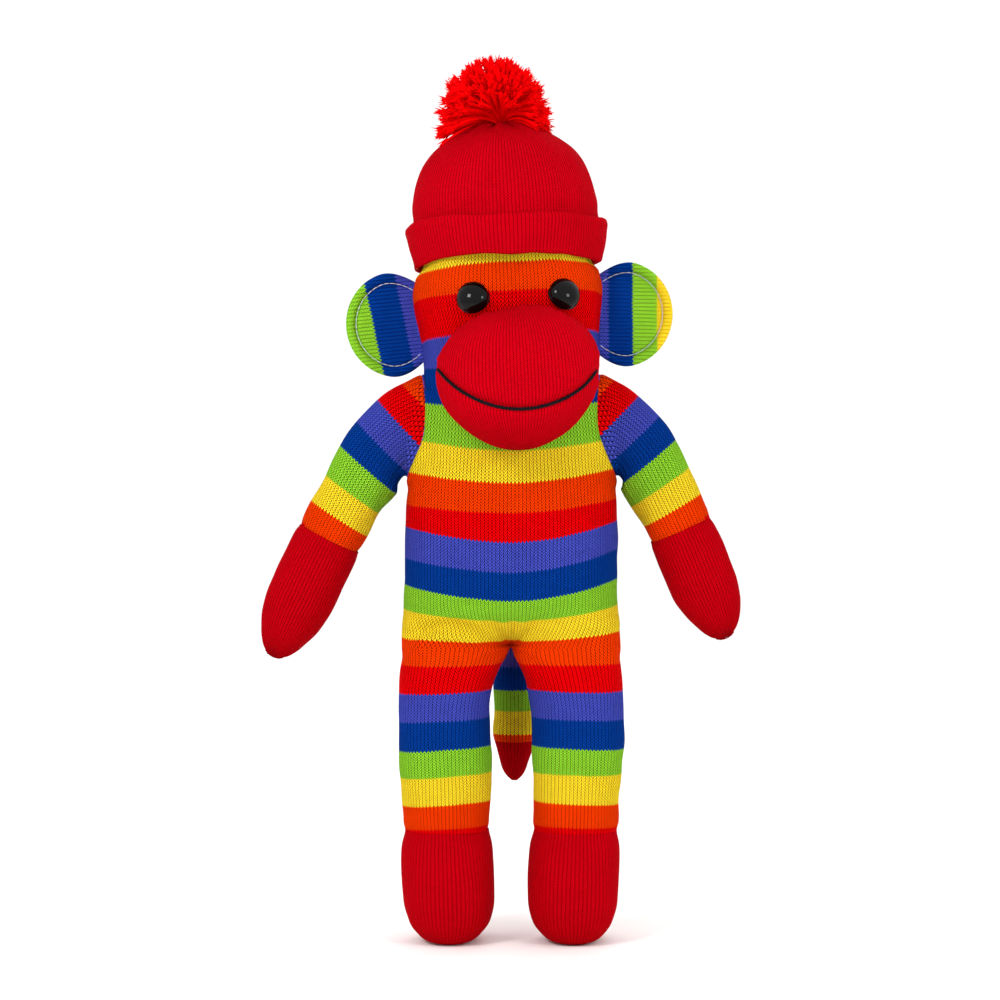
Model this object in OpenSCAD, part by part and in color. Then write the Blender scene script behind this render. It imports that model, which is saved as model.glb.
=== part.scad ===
// Knitted sock monkey: a soft toy sewn from a striped sock, with a red hat and pompom.
// Millimetres, +Z up, the face looks along -Y, the soles stand on z = 0.
// "left" and "right" are the toy's own, so its left side is +X.

/* [Size] */
// Height from the soles to the top of the pompom
toy_height = 305; // [275:5:335]
// Greatest width of the torso, at the hips
hip_width = 76; // [72:1:78]
// Depth of the torso, front to back
torso_depth = 46; // [44:1:48]
// Thickness of the sock knit
knit = 1.6; // [1.2:0.1:2]

/* [Head] */
// How far the head leans over to the toy's right, in degrees
head_roll = 2.6; // [0:0.2:4]
// How far the head leans back, in degrees
head_pitch = 5; // [2:0.5:6]
// How far the face looks round to the toy's left, in degrees
face_turn = 6.5; // [0:0.5:9]
// Diameter of the eyes
eye_d = 11; // [9:0.5:12]
// Angle from the middle of the face to each eye, in degrees
eye_spread = 30; // [27:1:33]
// Width of the muzzle
muzzle_width = 55; // [52:1:56]
// Height of the muzzle
muzzle_height = 48; // [46:1:50]
// How far the muzzle stands out from the face
muzzle_depth = 27; // [24:1:30]

/* [Ears] */
// Width of each ear out from the head
ear_width = 26.6; // [24:0.2:27]
// Height of each ear
ear_height = 36.6; // [34:0.2:37]
// Thickness of each ear
ear_thick = 5; // [4:0.2:5.4]

/* [Hat] */
// Height of the folded cuff
cuff_height = 14.5; // [13:0.5:16]
// Diameter of the pompom
pompom_d = 38; // [34:1:40]

/* [Limbs] */
// Length of the left arm along its middle
left_arm = 85; // [80:1:95]
// Length of the right arm along its middle
right_arm = 94.5; // [80:1:96]
// Angle of the left hand out from straight down, in degrees
left_splay = 22.7; // [20:0.5:26]
// Angle of the right hand out from straight down, in degrees
right_splay = 25.5; // [20:0.5:28]
// Place of the hand seam as a share of the arm's length
hand_share = 0.52; // [0.5:0.01:0.55]
// Distance between the middles of the two legs
leg_gap = 45.4; // [45:0.2:46.4]
// Height of the seam between leg and foot
ankle = 38; // [36:1:40]
// Length of the tail
tail_length = 62; // [50:1:64]

/* [Hidden] */
seg = 24;                       // facets round every stuffed tube, a multiple of 4
squareness = 2.4;               // 2 is an ellipse, more is squarer
unit = toy_height / 305;        // every size below is for a 305 mm toy
mid_x = 3.6;                    // the arms reach further to the toy's right
mid_y = 8;                       // the muzzle reaches further than the back
gap = 0.4;                      // between parts that turn against each other

red = [0.74, 0.02, 0.04];
crimson = [0.6, 0.01, 0.04];
orange = [0.9, 0.2, 0.02];
yellow = [0.85, 0.7, 0.1];
green = [0.4, 0.65, 0.15];
blue = [0.03, 0.15, 0.5];
violet = [0.2, 0.22, 0.65];
white = [0.92, 0.91, 0.88];
black = [0.02, 0.02, 0.02];

// Torso: [height, half width, half depth, middle in y]
neck_z = 196.6;
hip_half = hip_width / 2;
half_depth = torso_depth / 2;
torso_rows = [
    [104, hip_half, half_depth * 0.88, 1], [109, hip_half, half_depth * 0.94, 1],
    [114, hip_half * 0.985, half_depth * 0.97, 0.5], [124, hip_half * 0.97, half_depth, 0],
    [136, hip_half * 0.965, half_depth * 1.02, -0.5], [147, hip_half * 0.96, half_depth * 1.03, -1],
    [158, hip_half * 0.94, half_depth * 1.02, -1], [166, hip_half * 0.905, half_depth, -0.5],
    [176, hip_half * 0.865, half_depth, 0], [186, hip_half * 0.825, half_depth, 0],
    [neck_z, 29.7, half_depth, 0]];

// Hips: each leg turns about this line, its blunt top inside an arch cut across the torso.
// Both outlines are [distance behind the line, height above it].
hip = [0, -6, 104];
arch_rows = [[-30, 14.2], [5.5, 14.2], [15, 1], [30, 1]];
knuckle_rows = [[-13, 4], [-9, 8], [0, 9], [8, 1], [12, -2.6], [26, -5.4]];
leg_top = [hip_half / 2 + 0.2, hip_half / 2 - 0.9, 19];

// Leg: [height, middle in x, half width, half depth, middle in y]
leg_x = leg_gap / 2;
leg_rows = [
    [104, leg_top[0], leg_top[1], leg_top[2], 0], [97, leg_top[0] + 1.9, 17, 18.3, 0],
    [88, leg_x, 16.2, 17.2, 0], [78, leg_x + 0.3, 16, 16.3, 0.3], [68, leg_x + 0.4, 16, 15.6, 0.3],
    [54, leg_x, 15.4, 15, 0], [ankle, leg_x - 0.4, 14.9, 15, -0.5]];
foot_rows = [
    [ankle, leg_x - 0.4, 14.9, 15, -0.5], [30, leg_x - 0.7, 15.6, 16.6, -2],
    [22, leg_x - 1, 15.9, 18.2, -3.2], [14, leg_x - 1.2, 15.6, 18.6, -3.8],
    [7, leg_x - 1.4, 14, 17.4, -4], [2.6, leg_x - 1.4, 11.4, 15, -4],
    [0.6, leg_x - 1.4, 9.4, 13.2, -4], [0, leg_x - 1.4, 8.2, 12, -4]];

// Neck and head, in the head's own upright frame which leans about the neck
head_z = 201.4;
nod = [0, 8, head_z];           // hinge line of the nod
nod_angle = 18.5;               // relief under the back of the head, in degrees
head_rows = [
    [head_z, 29.4, 23.4], [205, 29.6, 24.6], [211, 30.4, 26.6], [219, 31.6, 28.4], [225, 32, 29],
    [229.5, 31.2, 29], [232.5, 28.4, 27.4], [240, 27.8, 27.4], [248, 27.6, 27.2],
    [256, 26, 25.6], [262.5, 22.4, 22], [268, 17.4, 17.2], [272.5, 11.4, 11.4],
    [275, 6, 6], [275.8, 1.4, 1.4]];
eye_z = 219.4;
muzzle_mid = [1.7, 191.2];
muzzle_face = 28.4;             // the muzzle's rim stands this far in front of the head's middle
ear_z = 215;
ear_lean = 4;
crown_z = 276;
cuff_z = 232.5;

// Shoulders: the arm is sewn on along a leaning oval
shoulder = [33.4, 0, 177.6];
shoulder_half = 17.6;
shoulder_depth = 13;
shoulder_lean = 9.4;

// Tail
tail_root = [1.3, 23.3, 113];
tail_r = 7.4;

// Arm: [share of length, half width, half depth, turn from seam plane to square across the arm]
sleeve_rows = [
    [0, shoulder_half, shoulder_depth, 0], [0.06, 16.8, 13, 0.2], [0.14, 14.5, 12.6, 0.5],
    [0.25, 12.2, 11.8, 0.85], [0.36, 11.3, 11.2, 1], [hand_share, 11.4, 11, 1]];
hand_rows = [
    [hand_share, 11.4, 11, 1], [0.64, 11.8, 11.4, 1], [0.76, 11.7, 11.4, 1],
    [0.85, 10.7, 10.6, 1], [0.92, 8.6, 8.6, 1], [0.97, 5.6, 5.6, 1], [0.995, 2, 2, 1]];

function unitv(v) = v / norm(v);
function last(v) = v[len(v) - 1];
function flip(v) = [for (i = [len(v) - 1:-1:0]) v[i]];
function bend(v) = sign(v) * pow(abs(v), 2 / squareness);

// A section is [middle, across, back, half width, half depth]; across x back points along the tube.
function section(z, x, y, a, b, down = false) = [[x, y, z], [1, 0, 0], [0, down ? -1 : 1, 0], a, b];
function oval(s) = [for (i = [0:seg - 1]) let (t = 360 * i / seg)
    s[0] + s[1] * s[3] * bend(cos(t)) + s[2] * s[4] * bend(sin(t))];
function ovals(sections) = [for (s = sections) oval(s)];

// The same sections one knit thickness further in, drawn back from the closed end.
function inner(sections) = let (widest = max([for (s = sections) s[3]]))
    [for (k = [0:len(sections) - 1]) let (s = sections[k])
        [s[0] - cross(s[1], s[2]) * knit * (k == 0 ? 0 : 1 - s[3] / widest), s[1], s[2],
            max(s[3] - knit, 0.3), max(s[4] - knit, 0.3)]];

// Triangles across one open end, in strips between opposite points.
function lid(first, n, top) = [for (i = [-n / 4:n / 4 - 1])
    let (p = (i + n) % n, q = (i + 1 + n) % n, r = (n / 2 - i - 1 + n) % n, s = (n / 2 - i + n) % n,
        strip = [if (q != r) [p, q, r], if (s != p) [p, r, s]])
    each [for (f = strip) [for (v = top ? flip(f) : f) first + v]]];

// One closed solid through a list of rings; a loop joins its last ring to its first. Each side is
// split along its shorter diagonal, so that a skin and its filling meet face to face.
module skin(rings, loop = false) {
    n = len(rings[0]);
    m = len(rings);
    points = [for (r = rings) each r];
    sides = [for (k = [0:loop ? m - 1 : m - 2], i = [0:n - 1])
        let (a = k * n, b = ((k + 1) % m) * n, j = (i + 1) % n)
        each norm(points[a + i] - points[b + j]) <= norm(points[b + i] - points[a + j])
            ? [[a + i, b + i, b + j], [a + i, b + j, a + j]]
            : [[a + i, b + i, a + j], [b + i, b + j, a + j]]];
    lids = loop ? [] : concat(lid(0, n, false), lid((m - 1) * n, n, true));
    polyhedron(points, concat(sides, lids));
}

// Knit open at both ends, knit closed at its far end, and the filling of either.
module tube(sections) skin(concat(ovals(sections), flip(ovals(inner(sections)))), loop = true);
module pouch(sections) skin(concat(flip(ovals(inner(sections))), ovals(sections)));
module filling(sections) skin(ovals(inner(sections)));

module stand() scale(unit) translate([mid_x, mid_y, 0]) children();
module mirrored(side) scale([side, 1, 1]) children();
module lean() translate([0, 0, head_z]) rotate([-head_pitch, -head_roll, 0]) translate([0, 0, -head_z])
    children();

// --- torso -----------------------------------------------------------------------------------
// Underside of the torso: high in front, where the thighs come up when the toy sits.
function arch(y) = hip[2] + lookup(y - hip[1], arch_rows);
function over_arch(rings) = [for (k = [0:len(rings) - 1])
    [for (p = rings[k]) [p[0], p[1], max(p[2], arch(p[1]) + 0.5 * k)]]];
function torso_sections() = [for (r = torso_rows) section(r[0], 0, r[3], r[1], r[2])];

module body_sock() color(blue) stand() {
    outer = ovals(torso_sections());
    inside = ovals(inner(torso_sections()));
    skin(over_arch_pair(outer, inside), loop = true);
}
function over_arch_pair(outer, inside) = concat(over_arch(outer), flip(over_arch(inside)));
module body_stuffing() color(white) stand() skin(over_arch(ovals(inner(torso_sections()))));

// --- neck ------------------------------------------------------------------------------------
// The neck's top follows the leaning head.
function leaning(p) = let (a = head_pitch, b = head_roll, d = p - [0, 0, head_z])
    [p[0], p[1], head_z - 0.3 - d[0] * -tan(b) - d[1] * tan(a)];
function neck_rings(t) = let (low = oval(section(neck_z + gap, 0, 0, 29.4 - t, 23.4 - t)))
    [low, [for (p = low) leaning([p[0], p[1], head_z])]];

module neck_sock() color(violet) stand()
    skin(concat(neck_rings(0), flip(neck_rings(knit))), loop = true);
module neck_stuffing() color(white) stand() skin(neck_rings(knit));

// --- head ------------------------------------------------------------------------------------
function relief(y) = y > nod[1] ? (y - nod[1]) * tan(nod_angle) : 0;
function head_sections() = [for (r = head_rows) section(r[0], 0, 0, r[1], r[2])];
function relieved(rings) = [for (k = [0:len(rings) - 1])
    [for (p = rings[k]) [p[0], p[1], max(p[2], head_z + 0.1 + relief(p[1]) + 0.4 * k)]]];
function head_half(z, i) = lookup(z, [for (r = head_rows) [r[0], r[i]]]);
function reach(a, b, turn) = pow(pow(abs(sin(turn)) / a, squareness)
    + pow(abs(cos(turn)) / b, squareness), -1 / squareness);

// Puts its children on the head's surface where an eye sits, +Z pointing square out of the face.
module at_eye(side) {
    turn = face_turn + side * eye_spread;
    a = head_half(eye_z, 1);
    b = head_half(eye_z, 2);
    r = reach(a, b, turn);
    out_x = sign(turn) * pow(r * abs(sin(turn)) / a, squareness - 1) / a;
    out_y = pow(r * cos(turn) / b, squareness - 1) / b;
    translate([r * sin(turn), -r * cos(turn), eye_z]) rotate([90, 0, atan2(out_x, out_y)])
        rotate([4, 0, 0]) children();
}
module eye_holes(d) for (side = [-1, 1]) at_eye(side)
    translate([0, 0, -6]) cylinder(d = d, h = 8, $fn = 48);

module head_sock() color(orange) stand() lean() difference() {
    skin(concat(flip(relieved(ovals(inner(head_sections())))), relieved(ovals(head_sections()))));
    eye_holes(3.6);
}
module head_stuffing() color(white) stand() lean() difference() {
    skin(relieved(ovals(inner(head_sections()))));
    for (side = [-1, 1]) at_eye(side) translate([0, 0, -8]) cylinder(d = eye_d + 0.6, h = 9, $fn = 48);
}
module head_crown_thread() color(orange) stand() lean()
    translate([0, 0, crown_z]) cylinder(r = 2.2, h = 1, $fn = 48);

module eye(side) color(black) stand() lean() at_eye(side) translate([0, 0, 0.15])
    rotate_extrude($fn = 96) polygon(concat([[0, -7], [1.6, -7], [1.6, 0], [eye_d / 2 - 0.3, 0]],
        [for (t = [0:10:90]) [eye_d / 2 * cos(t), 0.5 + eye_d * 0.36 * sin(t)]]));
module eye_washer(side) color(white) stand() lean() at_eye(side) translate([0, 0, -knit - 2.7])
    difference() {
        cylinder(d = eye_d, h = 1.4, $fn = 96);
        translate([0, 0, -1]) cylinder(r = 1.65, h = 4, $fn = 48);
    }
module left_eye() eye(1);
module right_eye() eye(-1);
module left_eye_washer() eye_washer(1);
module right_eye_washer() eye_washer(-1);

// --- muzzle ----------------------------------------------------------------------------------
// A puffy oval sewn over the face; its back follows the face and stays clear of the chest.
function muzzle_out(x, z, in) = let (w = muzzle_width / 2 - in, h = muzzle_height / 2 - in,
    q = min(1, sqrt(x * x / (w * w) + z * z / (h * h))))
    (muzzle_depth - in) * pow(1 - pow(q, 2.5), 1 / 2.3);
function chest(x, z) = let (below = max(0, head_z - z))
    max(-half_depth - 3.2, -sqrt(max(1, 31.8 * 31.8 - x * x))) + below * tan(head_pitch) * 0.8;
function face(x, z) = let (a = head_half(z, 1), b = head_half(z, 2))
    -b * pow(max(0.001, 1 - pow(min(1, abs(x) / a), squareness)), 1 / squareness);
function behind(x, z) = z < head_z ? chest(x, z) : min(chest(x, z), face(x, z) - 0.25);
function muzzle_at(q, i, in) = let (t = 360 * i / seg)
    [muzzle_mid[0] + q * (muzzle_width / 2 - in) * bend(cos(t)) * 0.985,
        muzzle_mid[1] + q * (muzzle_height / 2 - in) * bend(sin(t)) * 0.985];
function muzzle_front(q, in) = [for (i = [0:seg - 1]) let (p = muzzle_at(q, i, in))
    [p[0], -muzzle_face - muzzle_out(p[0] - muzzle_mid[0], p[1] - muzzle_mid[1], in), p[1]]];
function muzzle_back(q, in) = [for (i = [0:seg - 1]) let (p = muzzle_at(q, i, in))
    [p[0], min(behind(p[0], p[1]), -21), p[1]]];
muzzle_steps = [0.04, 0.24, 0.42, 0.58, 0.72, 0.83, 0.91, 0.96, 0.99];

module muzzle_sock() color(red) stand() lean() skin(concat(
    [for (q = muzzle_steps) muzzle_front(q, knit)], [muzzle_back(0.99, knit)],
    [muzzle_back(0.99, 0)], [for (q = flip(muzzle_steps)) muzzle_front(q, 0)]));
module muzzle_stuffing() color(white) stand() lean() skin(concat(
    [for (q = [0.04, 0.35, 0.65, 0.85, 0.99]) muzzle_back(q, knit)],
    [for (q = flip(muzzle_steps)) muzzle_front(q, knit)]));

// The mouth is one length of yarn laid on the muzzle.
yarn_r = 0.8;
mouth_half = muzzle_width / 2 * 0.93;
function mouth_at(t) = let (x = t * mouth_half, z = -10.8 + 15 * pow(abs(t), 2.2))
    [muzzle_mid[0] + x, -muzzle_face - muzzle_out(x, z, 0), muzzle_mid[1] + z];
function mouth_normal(t) = let (p = mouth_at(t), e = 0.5,
    x = p[0] - muzzle_mid[0], z = p[2] - muzzle_mid[1], m = muzzle_out(x, z, 0),
    gx = (muzzle_out(x + e, z, 0) - m) / e, gz = (muzzle_out(x, z + e, 0) - m) / e)
    unitv([-gx, -1, -gz]);
function cord_ring(p, along, out, r) = let (side = unitv(cross(along, out)), n = 8)
    [for (i = [0:n - 1]) p + r * (out * cos(360 * i / n) - side * sin(360 * i / n))];

module mouth_yarn() color(black) stand() lean() {
    steps = [for (t = [-1:0.1:1.001]) t];
    skin([for (t = steps) let (out = mouth_normal(t), along = unitv(mouth_at(t + 0.01) - mouth_at(t - 0.01)))
        cord_ring(mouth_at(t) + out * (yarn_r + 0.35), along, out, yarn_r)]);
}

// --- ears ------------------------------------------------------------------------------------
// A round flat pad cut straight where it is sewn on; u runs out from the seam, v runs up.
ear_mid = 9;
ear_edge = [1, 0.985, 0.95, 0.88, 0.8, 0.72, 0.4, 0.04];
ear_puff = [0.12, 0.5, 0.78, 0.96, 0.8, 0.9, 0.86, 0.84];
function ear_point(q, i) = let (t = 360 * i / seg, w = ear_width - ear_mid,
    cut = cos(t) < 0 ? min(1, ear_mid / (w * -cos(t))) : 1)
    [ear_mid + w * q * cut * cos(t), ear_height / 2 * q * cut * sin(t)];
// Near the seam the pad thins so that it can fold.
function ear_y(q, i, puff) = let (p = ear_point(q, i))
    max(0.15, ear_thick / 2 * puff * min(1, 0.34 + p[0] / 7));
function ear_ring(q, y) = [for (i = [0:seg - 1]) let (p = ear_point(q, i)) [p[0], y, p[1]]];
function ear_front_ring(k) = [for (i = [0:seg - 1]) let (q = ear_edge[k], p = ear_point(q, i))
    [p[0], -ear_y(q, i, ear_puff[k]), p[1]]];

module at_ear(side) lean() mirrored(side)
    translate([head_half(ear_z, 1) + 0.75, 0, ear_z]) rotate([0, ear_lean, 0]) children();
module ear_layer(side, back) stand() at_ear(side) mirror([0, back ? 1 : 0, 0]) skin(concat(
    [ear_ring(0.04, -0.03), ear_ring(1, -0.03)],
    [for (k = [0:len(ear_edge) - 1]) ear_front_ring(k)]));
module ear_stitch(side) color(white) stand() at_ear(side) {
    q = 0.8;
    skin([for (i = [0:seg - 1]) let (p = ear_point(q, i), a = ear_point(q, i - 1), b = ear_point(q, i + 1),
        along = unitv([b[0] - a[0], 0, b[1] - a[1]]))
        cord_ring([p[0], -ear_y(q, i, 0.8) - 0.5, p[1]], along, [0, -1, 0], 0.35)], loop = true);
}
module left_ear_front() color(green) ear_layer(1, false);
module left_ear_back() color(green) ear_layer(1, true);
module left_ear_stitch() ear_stitch(1);
module right_ear_front() color(green) ear_layer(-1, false);
module right_ear_back() color(green) ear_layer(-1, true);
module right_ear_stitch() ear_stitch(-1);

// --- hat -------------------------------------------------------------------------------------
cuff_top = cuff_z + cuff_height;
module hat_knit() color(red) stand() lean() rotate_extrude($fn = 96) polygon([
    [30, cuff_z + 0.6], [30, 249], [28.6, 257.4], [25, 264.6], [19.6, 270.6], [12.6, 275.4], [6, 277.6],
    [1.6, 278], [1.6, 280.8], [6.5, 280.6], [14.2, 278.2], [22.4, 272.8], [27.9, 266], [31, 257.8],
    [32, cuff_top + 2.4], [32.6, cuff_top + 1], [34.2, cuff_top], [34.8, cuff_top - 1.6],
    [34, cuff_z + 6], [32.8, cuff_z + 1], [32, cuff_z + 0.1], [30.8, cuff_z]]);
module hat_gather_thread() color(red) stand() lean()
    translate([0, 0, 278]) cylinder(r = 1.5, h = 3.2, $fn = 48);
pompom_z = 305.6 - pompom_d * 0.3;
module pompom_tie() color(red) stand() lean() translate([0, 0, 282]) cylinder(r = 1.5, h = 0.7, $fn = 48);
module pompom() color(red) stand() lean() translate([0, 0, pompom_z]) rotate_extrude($fn = 96)
    polygon([for (t = [-90:7.5:90]) [max(0, pompom_d / 2 * cos(t)), pompom_d * 0.3 * sin(t)]]);

// --- arms ------------------------------------------------------------------------------------
arm_steps = 50;
function arm_angle(s, splay) = splay + (65 - splay) * pow(1 - s, 6);
function arm_walk(k, size, splay) = k == 0 ? [seam_mid(0.9)] :
    let (w = arm_walk(k - 1, size, splay), a = arm_angle((k - 0.5) / arm_steps, splay))
    concat(w, [last(w) + size / arm_steps * [sin(a), 0, -cos(a)]]);
seam_out = [cos(shoulder_lean), 0, sin(shoulder_lean)];
seam_up = [-sin(shoulder_lean), 0, cos(shoulder_lean)];
function seam_mid(off) = shoulder + seam_out * off;
function arm_section(row, walk, splay) = let (p = row[0] * arm_steps, k = min(arm_steps - 1, floor(p)),
    c = walk[k] + (walk[k + 1] - walk[k]) * (p - k), a = arm_angle(row[0], splay),
    up = unitv(seam_up * (1 - row[3]) + [cos(a), 0, sin(a)] * row[3]))
    [c, up, [0, -1, 0], row[1], row[2]];
function arm_sections(rows, size, splay) = let (walk = arm_walk(arm_steps, size, splay))
    [for (r = rows) arm_section(r, walk, splay)];
function size_of(side) = side > 0 ? left_arm : right_arm;
function splay_of(side) = side > 0 ? left_splay : right_splay;

module sleeve_sock(side) color(green) stand() mirrored(side)
    tube(arm_sections(sleeve_rows, size_of(side), splay_of(side)));
module hand_sock(side) color(crimson) stand() mirrored(side)
    pouch(arm_sections(hand_rows, size_of(side), splay_of(side)));
module arm_stuffing(side) color(white) stand() mirrored(side) {
    sleeve = inner(arm_sections(sleeve_rows, size_of(side), splay_of(side)));
    hand = inner(arm_sections(hand_rows, size_of(side), splay_of(side)));
    skin(ovals(concat([for (k = [0:len(sleeve) - 2]) sleeve[k]], hand)));
}
module hand_seam(side) color(crimson) stand() mirrored(side) {
    tip = last(arm_sections(hand_rows, size_of(side), splay_of(side)));
    along = cross(tip[1], tip[2]);
    skin([for (t = [-1:0.5:1]) let (p = tip[0] + along * (1.35 - 1.4 * t * t) + tip[1] * t * 3.4)
        [for (i = [0:7]) p + 0.6 * (along * cos(45 * i) - tip[2] * sin(45 * i))]]);
}
module shoulder_seam(side) color(green) stand() mirrored(side) {
    rows = [for (off = [-0.3, 0.5], in = [0, 1.2]) [off, in]];
    skin([for (k = [0, 2, 3, 1]) let (r = rows[k])
        oval([seam_mid(r[0]), seam_up, [0, -1, 0], shoulder_half - r[1], shoulder_depth - r[1]])], loop = true);
}
module left_shoulder_seam() shoulder_seam(1);
module right_shoulder_seam() shoulder_seam(-1);
module left_sleeve_sock() sleeve_sock(1);
module right_sleeve_sock() sleeve_sock(-1);
module left_hand_sock() hand_sock(1);
module right_hand_sock() hand_sock(-1);
module left_arm_stuffing() arm_stuffing(1);
module right_arm_stuffing() arm_stuffing(-1);
module left_hand_seam() hand_seam(1);
module right_hand_seam() hand_seam(-1);

// --- legs ------------------------------------------------------------------------------------
// Top of the leg: a blunt front that turns in the torso's arch, then a fall to the back.
function knuckle(y) = hip[2] + lookup(y - hip[1], knuckle_rows);
function under_hip(rings) = [for (k = [0:len(rings) - 1])
    [for (p = rings[k]) [p[0], p[1], k == 0 ? knuckle(p[1]) : min(p[2], knuckle(p[1]) - 0.5 * k)]]];
function sections_down(rows) = [for (r = rows) section(r[0], r[1], r[4], r[2], r[3], down = true)];

module leg_sock(side) color(yellow) stand() mirrored(side) {
    rows = sections_down(leg_rows);
    skin(concat(under_hip(ovals(rows)), flip(under_hip(ovals(inner(rows))))), loop = true);
}
module foot_sock(side) color(crimson) stand() mirrored(side) pouch(sections_down(foot_rows));
module leg_stuffing(side) color(white) stand() mirrored(side) {
    leg = inner(sections_down(leg_rows));
    foot = inner(sections_down(foot_rows));
    skin(concat(under_hip(ovals([for (k = [0:len(leg) - 2]) leg[k]])), ovals(foot)));
}
module left_leg_sock() leg_sock(1);
module right_leg_sock() leg_sock(-1);
module left_foot_sock() foot_sock(1);
module right_foot_sock() foot_sock(-1);
module left_leg_stuffing() leg_stuffing(1);
module right_leg_stuffing() leg_stuffing(-1);

// --- tail ------------------------------------------------------------------------------------
function tail_sections(rows) = [for (r = rows) section(tail_root[2] - r[0] * tail_length, tail_root[0],
    tail_root[1] + r[2], r[1] * tail_r, r[1] * tail_r, down = true)];
tail_rows = [[0, 0.55, 5.6], [0.06, 0.78, 7.3], [0.16, 0.92, 8.3], [0.35, 0.96, 8.6], [0.55, 1, 8.9]];
tip_rows = [[0.55, 1, 8.9], [0.7, 1, 9], [0.82, 0.92, 9], [0.91, 0.72, 9], [0.97, 0.44, 9], [1, 0.14, 9]];

module tail_sock() color(violet) stand() tube(tail_sections(tail_rows));
module tail_tip_sock() color(crimson) stand() pouch(tail_sections(tip_rows));
module tail_stuffing() color(white) stand() {
    top = inner(tail_sections(tail_rows));
    tip = inner(tail_sections(tip_rows));
    skin(ovals(concat([for (k = [0:len(top) - 2]) top[k]], tip)));
}
module tail_tip_seam() color(crimson) stand()
    translate([tail_root[0], tail_root[1] + 9, tail_root[2] - tail_length - 0.75])
    rotate([0, 90, 0]) cylinder(r = 0.6, h = 7, center = true, $fn = 24);
module tail_root_seam() color(violet) stand() translate(tail_root + [0, 0.6, 0])
    rotate([90, 0, 0]) difference() {
        cylinder(r = 3.8, h = 1.2, center = true, $fn = 48);
        cylinder(r = 2.2, h = 3, center = true, $fn = 48);
    }

body_sock();
body_stuffing();
neck_sock();
neck_stuffing();
head_sock();
head_stuffing();
head_crown_thread();
left_eye();
right_eye();
left_eye_washer();
right_eye_washer();
muzzle_sock();
muzzle_stuffing();
mouth_yarn();
left_ear_front();
left_ear_back();
left_ear_stitch();
right_ear_front();
right_ear_back();
right_ear_stitch();
hat_knit();
hat_gather_thread();
pompom_tie();
pompom();
left_shoulder_seam();
right_shoulder_seam();
left_sleeve_sock();
right_sleeve_sock();
left_hand_sock();
right_hand_sock();
left_arm_stuffing();
right_arm_stuffing();
left_hand_seam();
right_hand_seam();
left_leg_sock();
right_leg_sock();
left_foot_sock();
right_foot_sock();
left_leg_stuffing();
right_leg_stuffing();
tail_root_seam();
tail_sock();
tail_tip_sock();
tail_stuffing();
tail_tip_seam();
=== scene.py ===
"""Knitted sock monkey with a red hat and pompom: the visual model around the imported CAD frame.

Lengths in the tables are millimetres about the toy's middle line, +Z up from the soles, with the
face towards -Y. The toy's own left side is +X.
"""

import math

import bpy
import numpy as np
from mathutils import Matrix, Vector


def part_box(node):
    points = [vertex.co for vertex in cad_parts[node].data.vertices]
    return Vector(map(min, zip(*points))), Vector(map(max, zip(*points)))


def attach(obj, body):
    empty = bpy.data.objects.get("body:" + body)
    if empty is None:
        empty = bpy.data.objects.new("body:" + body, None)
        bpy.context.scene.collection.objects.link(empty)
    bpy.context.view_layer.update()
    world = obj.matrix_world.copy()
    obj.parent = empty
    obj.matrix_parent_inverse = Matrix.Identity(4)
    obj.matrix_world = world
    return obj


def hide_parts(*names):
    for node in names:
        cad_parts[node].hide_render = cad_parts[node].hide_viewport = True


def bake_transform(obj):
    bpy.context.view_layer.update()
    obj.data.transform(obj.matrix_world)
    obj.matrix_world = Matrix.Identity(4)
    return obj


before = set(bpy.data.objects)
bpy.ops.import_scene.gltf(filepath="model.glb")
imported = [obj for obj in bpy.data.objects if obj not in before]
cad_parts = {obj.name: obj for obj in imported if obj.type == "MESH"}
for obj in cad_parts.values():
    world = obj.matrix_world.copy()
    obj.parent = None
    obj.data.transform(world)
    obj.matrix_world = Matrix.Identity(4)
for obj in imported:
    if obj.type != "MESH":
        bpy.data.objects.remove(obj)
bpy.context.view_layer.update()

MM = 0.001
SEED = 7
SQUARE = 2.4        # superellipse power of every stuffed section
COURSES = 10        # knitted rows in one stripe
HEAD_Z = 201.4      # the head leans about this height
HEAD_PITCH, HEAD_ROLL = -5.0, -2.6
FACE_TURN, EYE_SPREAD, EYE_Z, EYE_D = 6.5, 30.0, 219.4, 11.0
CROTCH_Z = 101.8
HIP_TOP, HIP_LOW = 117.0, 84.0
NECK_LOW, NECK_MID, NECK_TOP = 190.0, 197.5, 213.0
EAR_Z = 215.0
ANKLE_Z = 38.0

body_low, body_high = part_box("body_sock")
ORIGIN = np.array([(body_low.x + body_high.x) / 2 / MM, body_high.y / MM - 23.0, 0.0])
rng = np.random.default_rng(SEED)


# --- small tools --------------------------------------------------------------------------------
def place(points):
    """Toy millimetres to metres in the shared frame."""
    return (np.asarray(points, float) + ORIGIN) * MM


def spot(x, y, z):
    return tuple(place([x, y, z]))


def smoothstep(t):
    t = np.clip(t, 0, 1)
    return t * t * (3 - 2 * t)


def bell(x, width):
    """1 at 0, falling away to nothing over about twice the width on either side."""
    return np.exp(-(x / width) ** 2)


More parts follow.
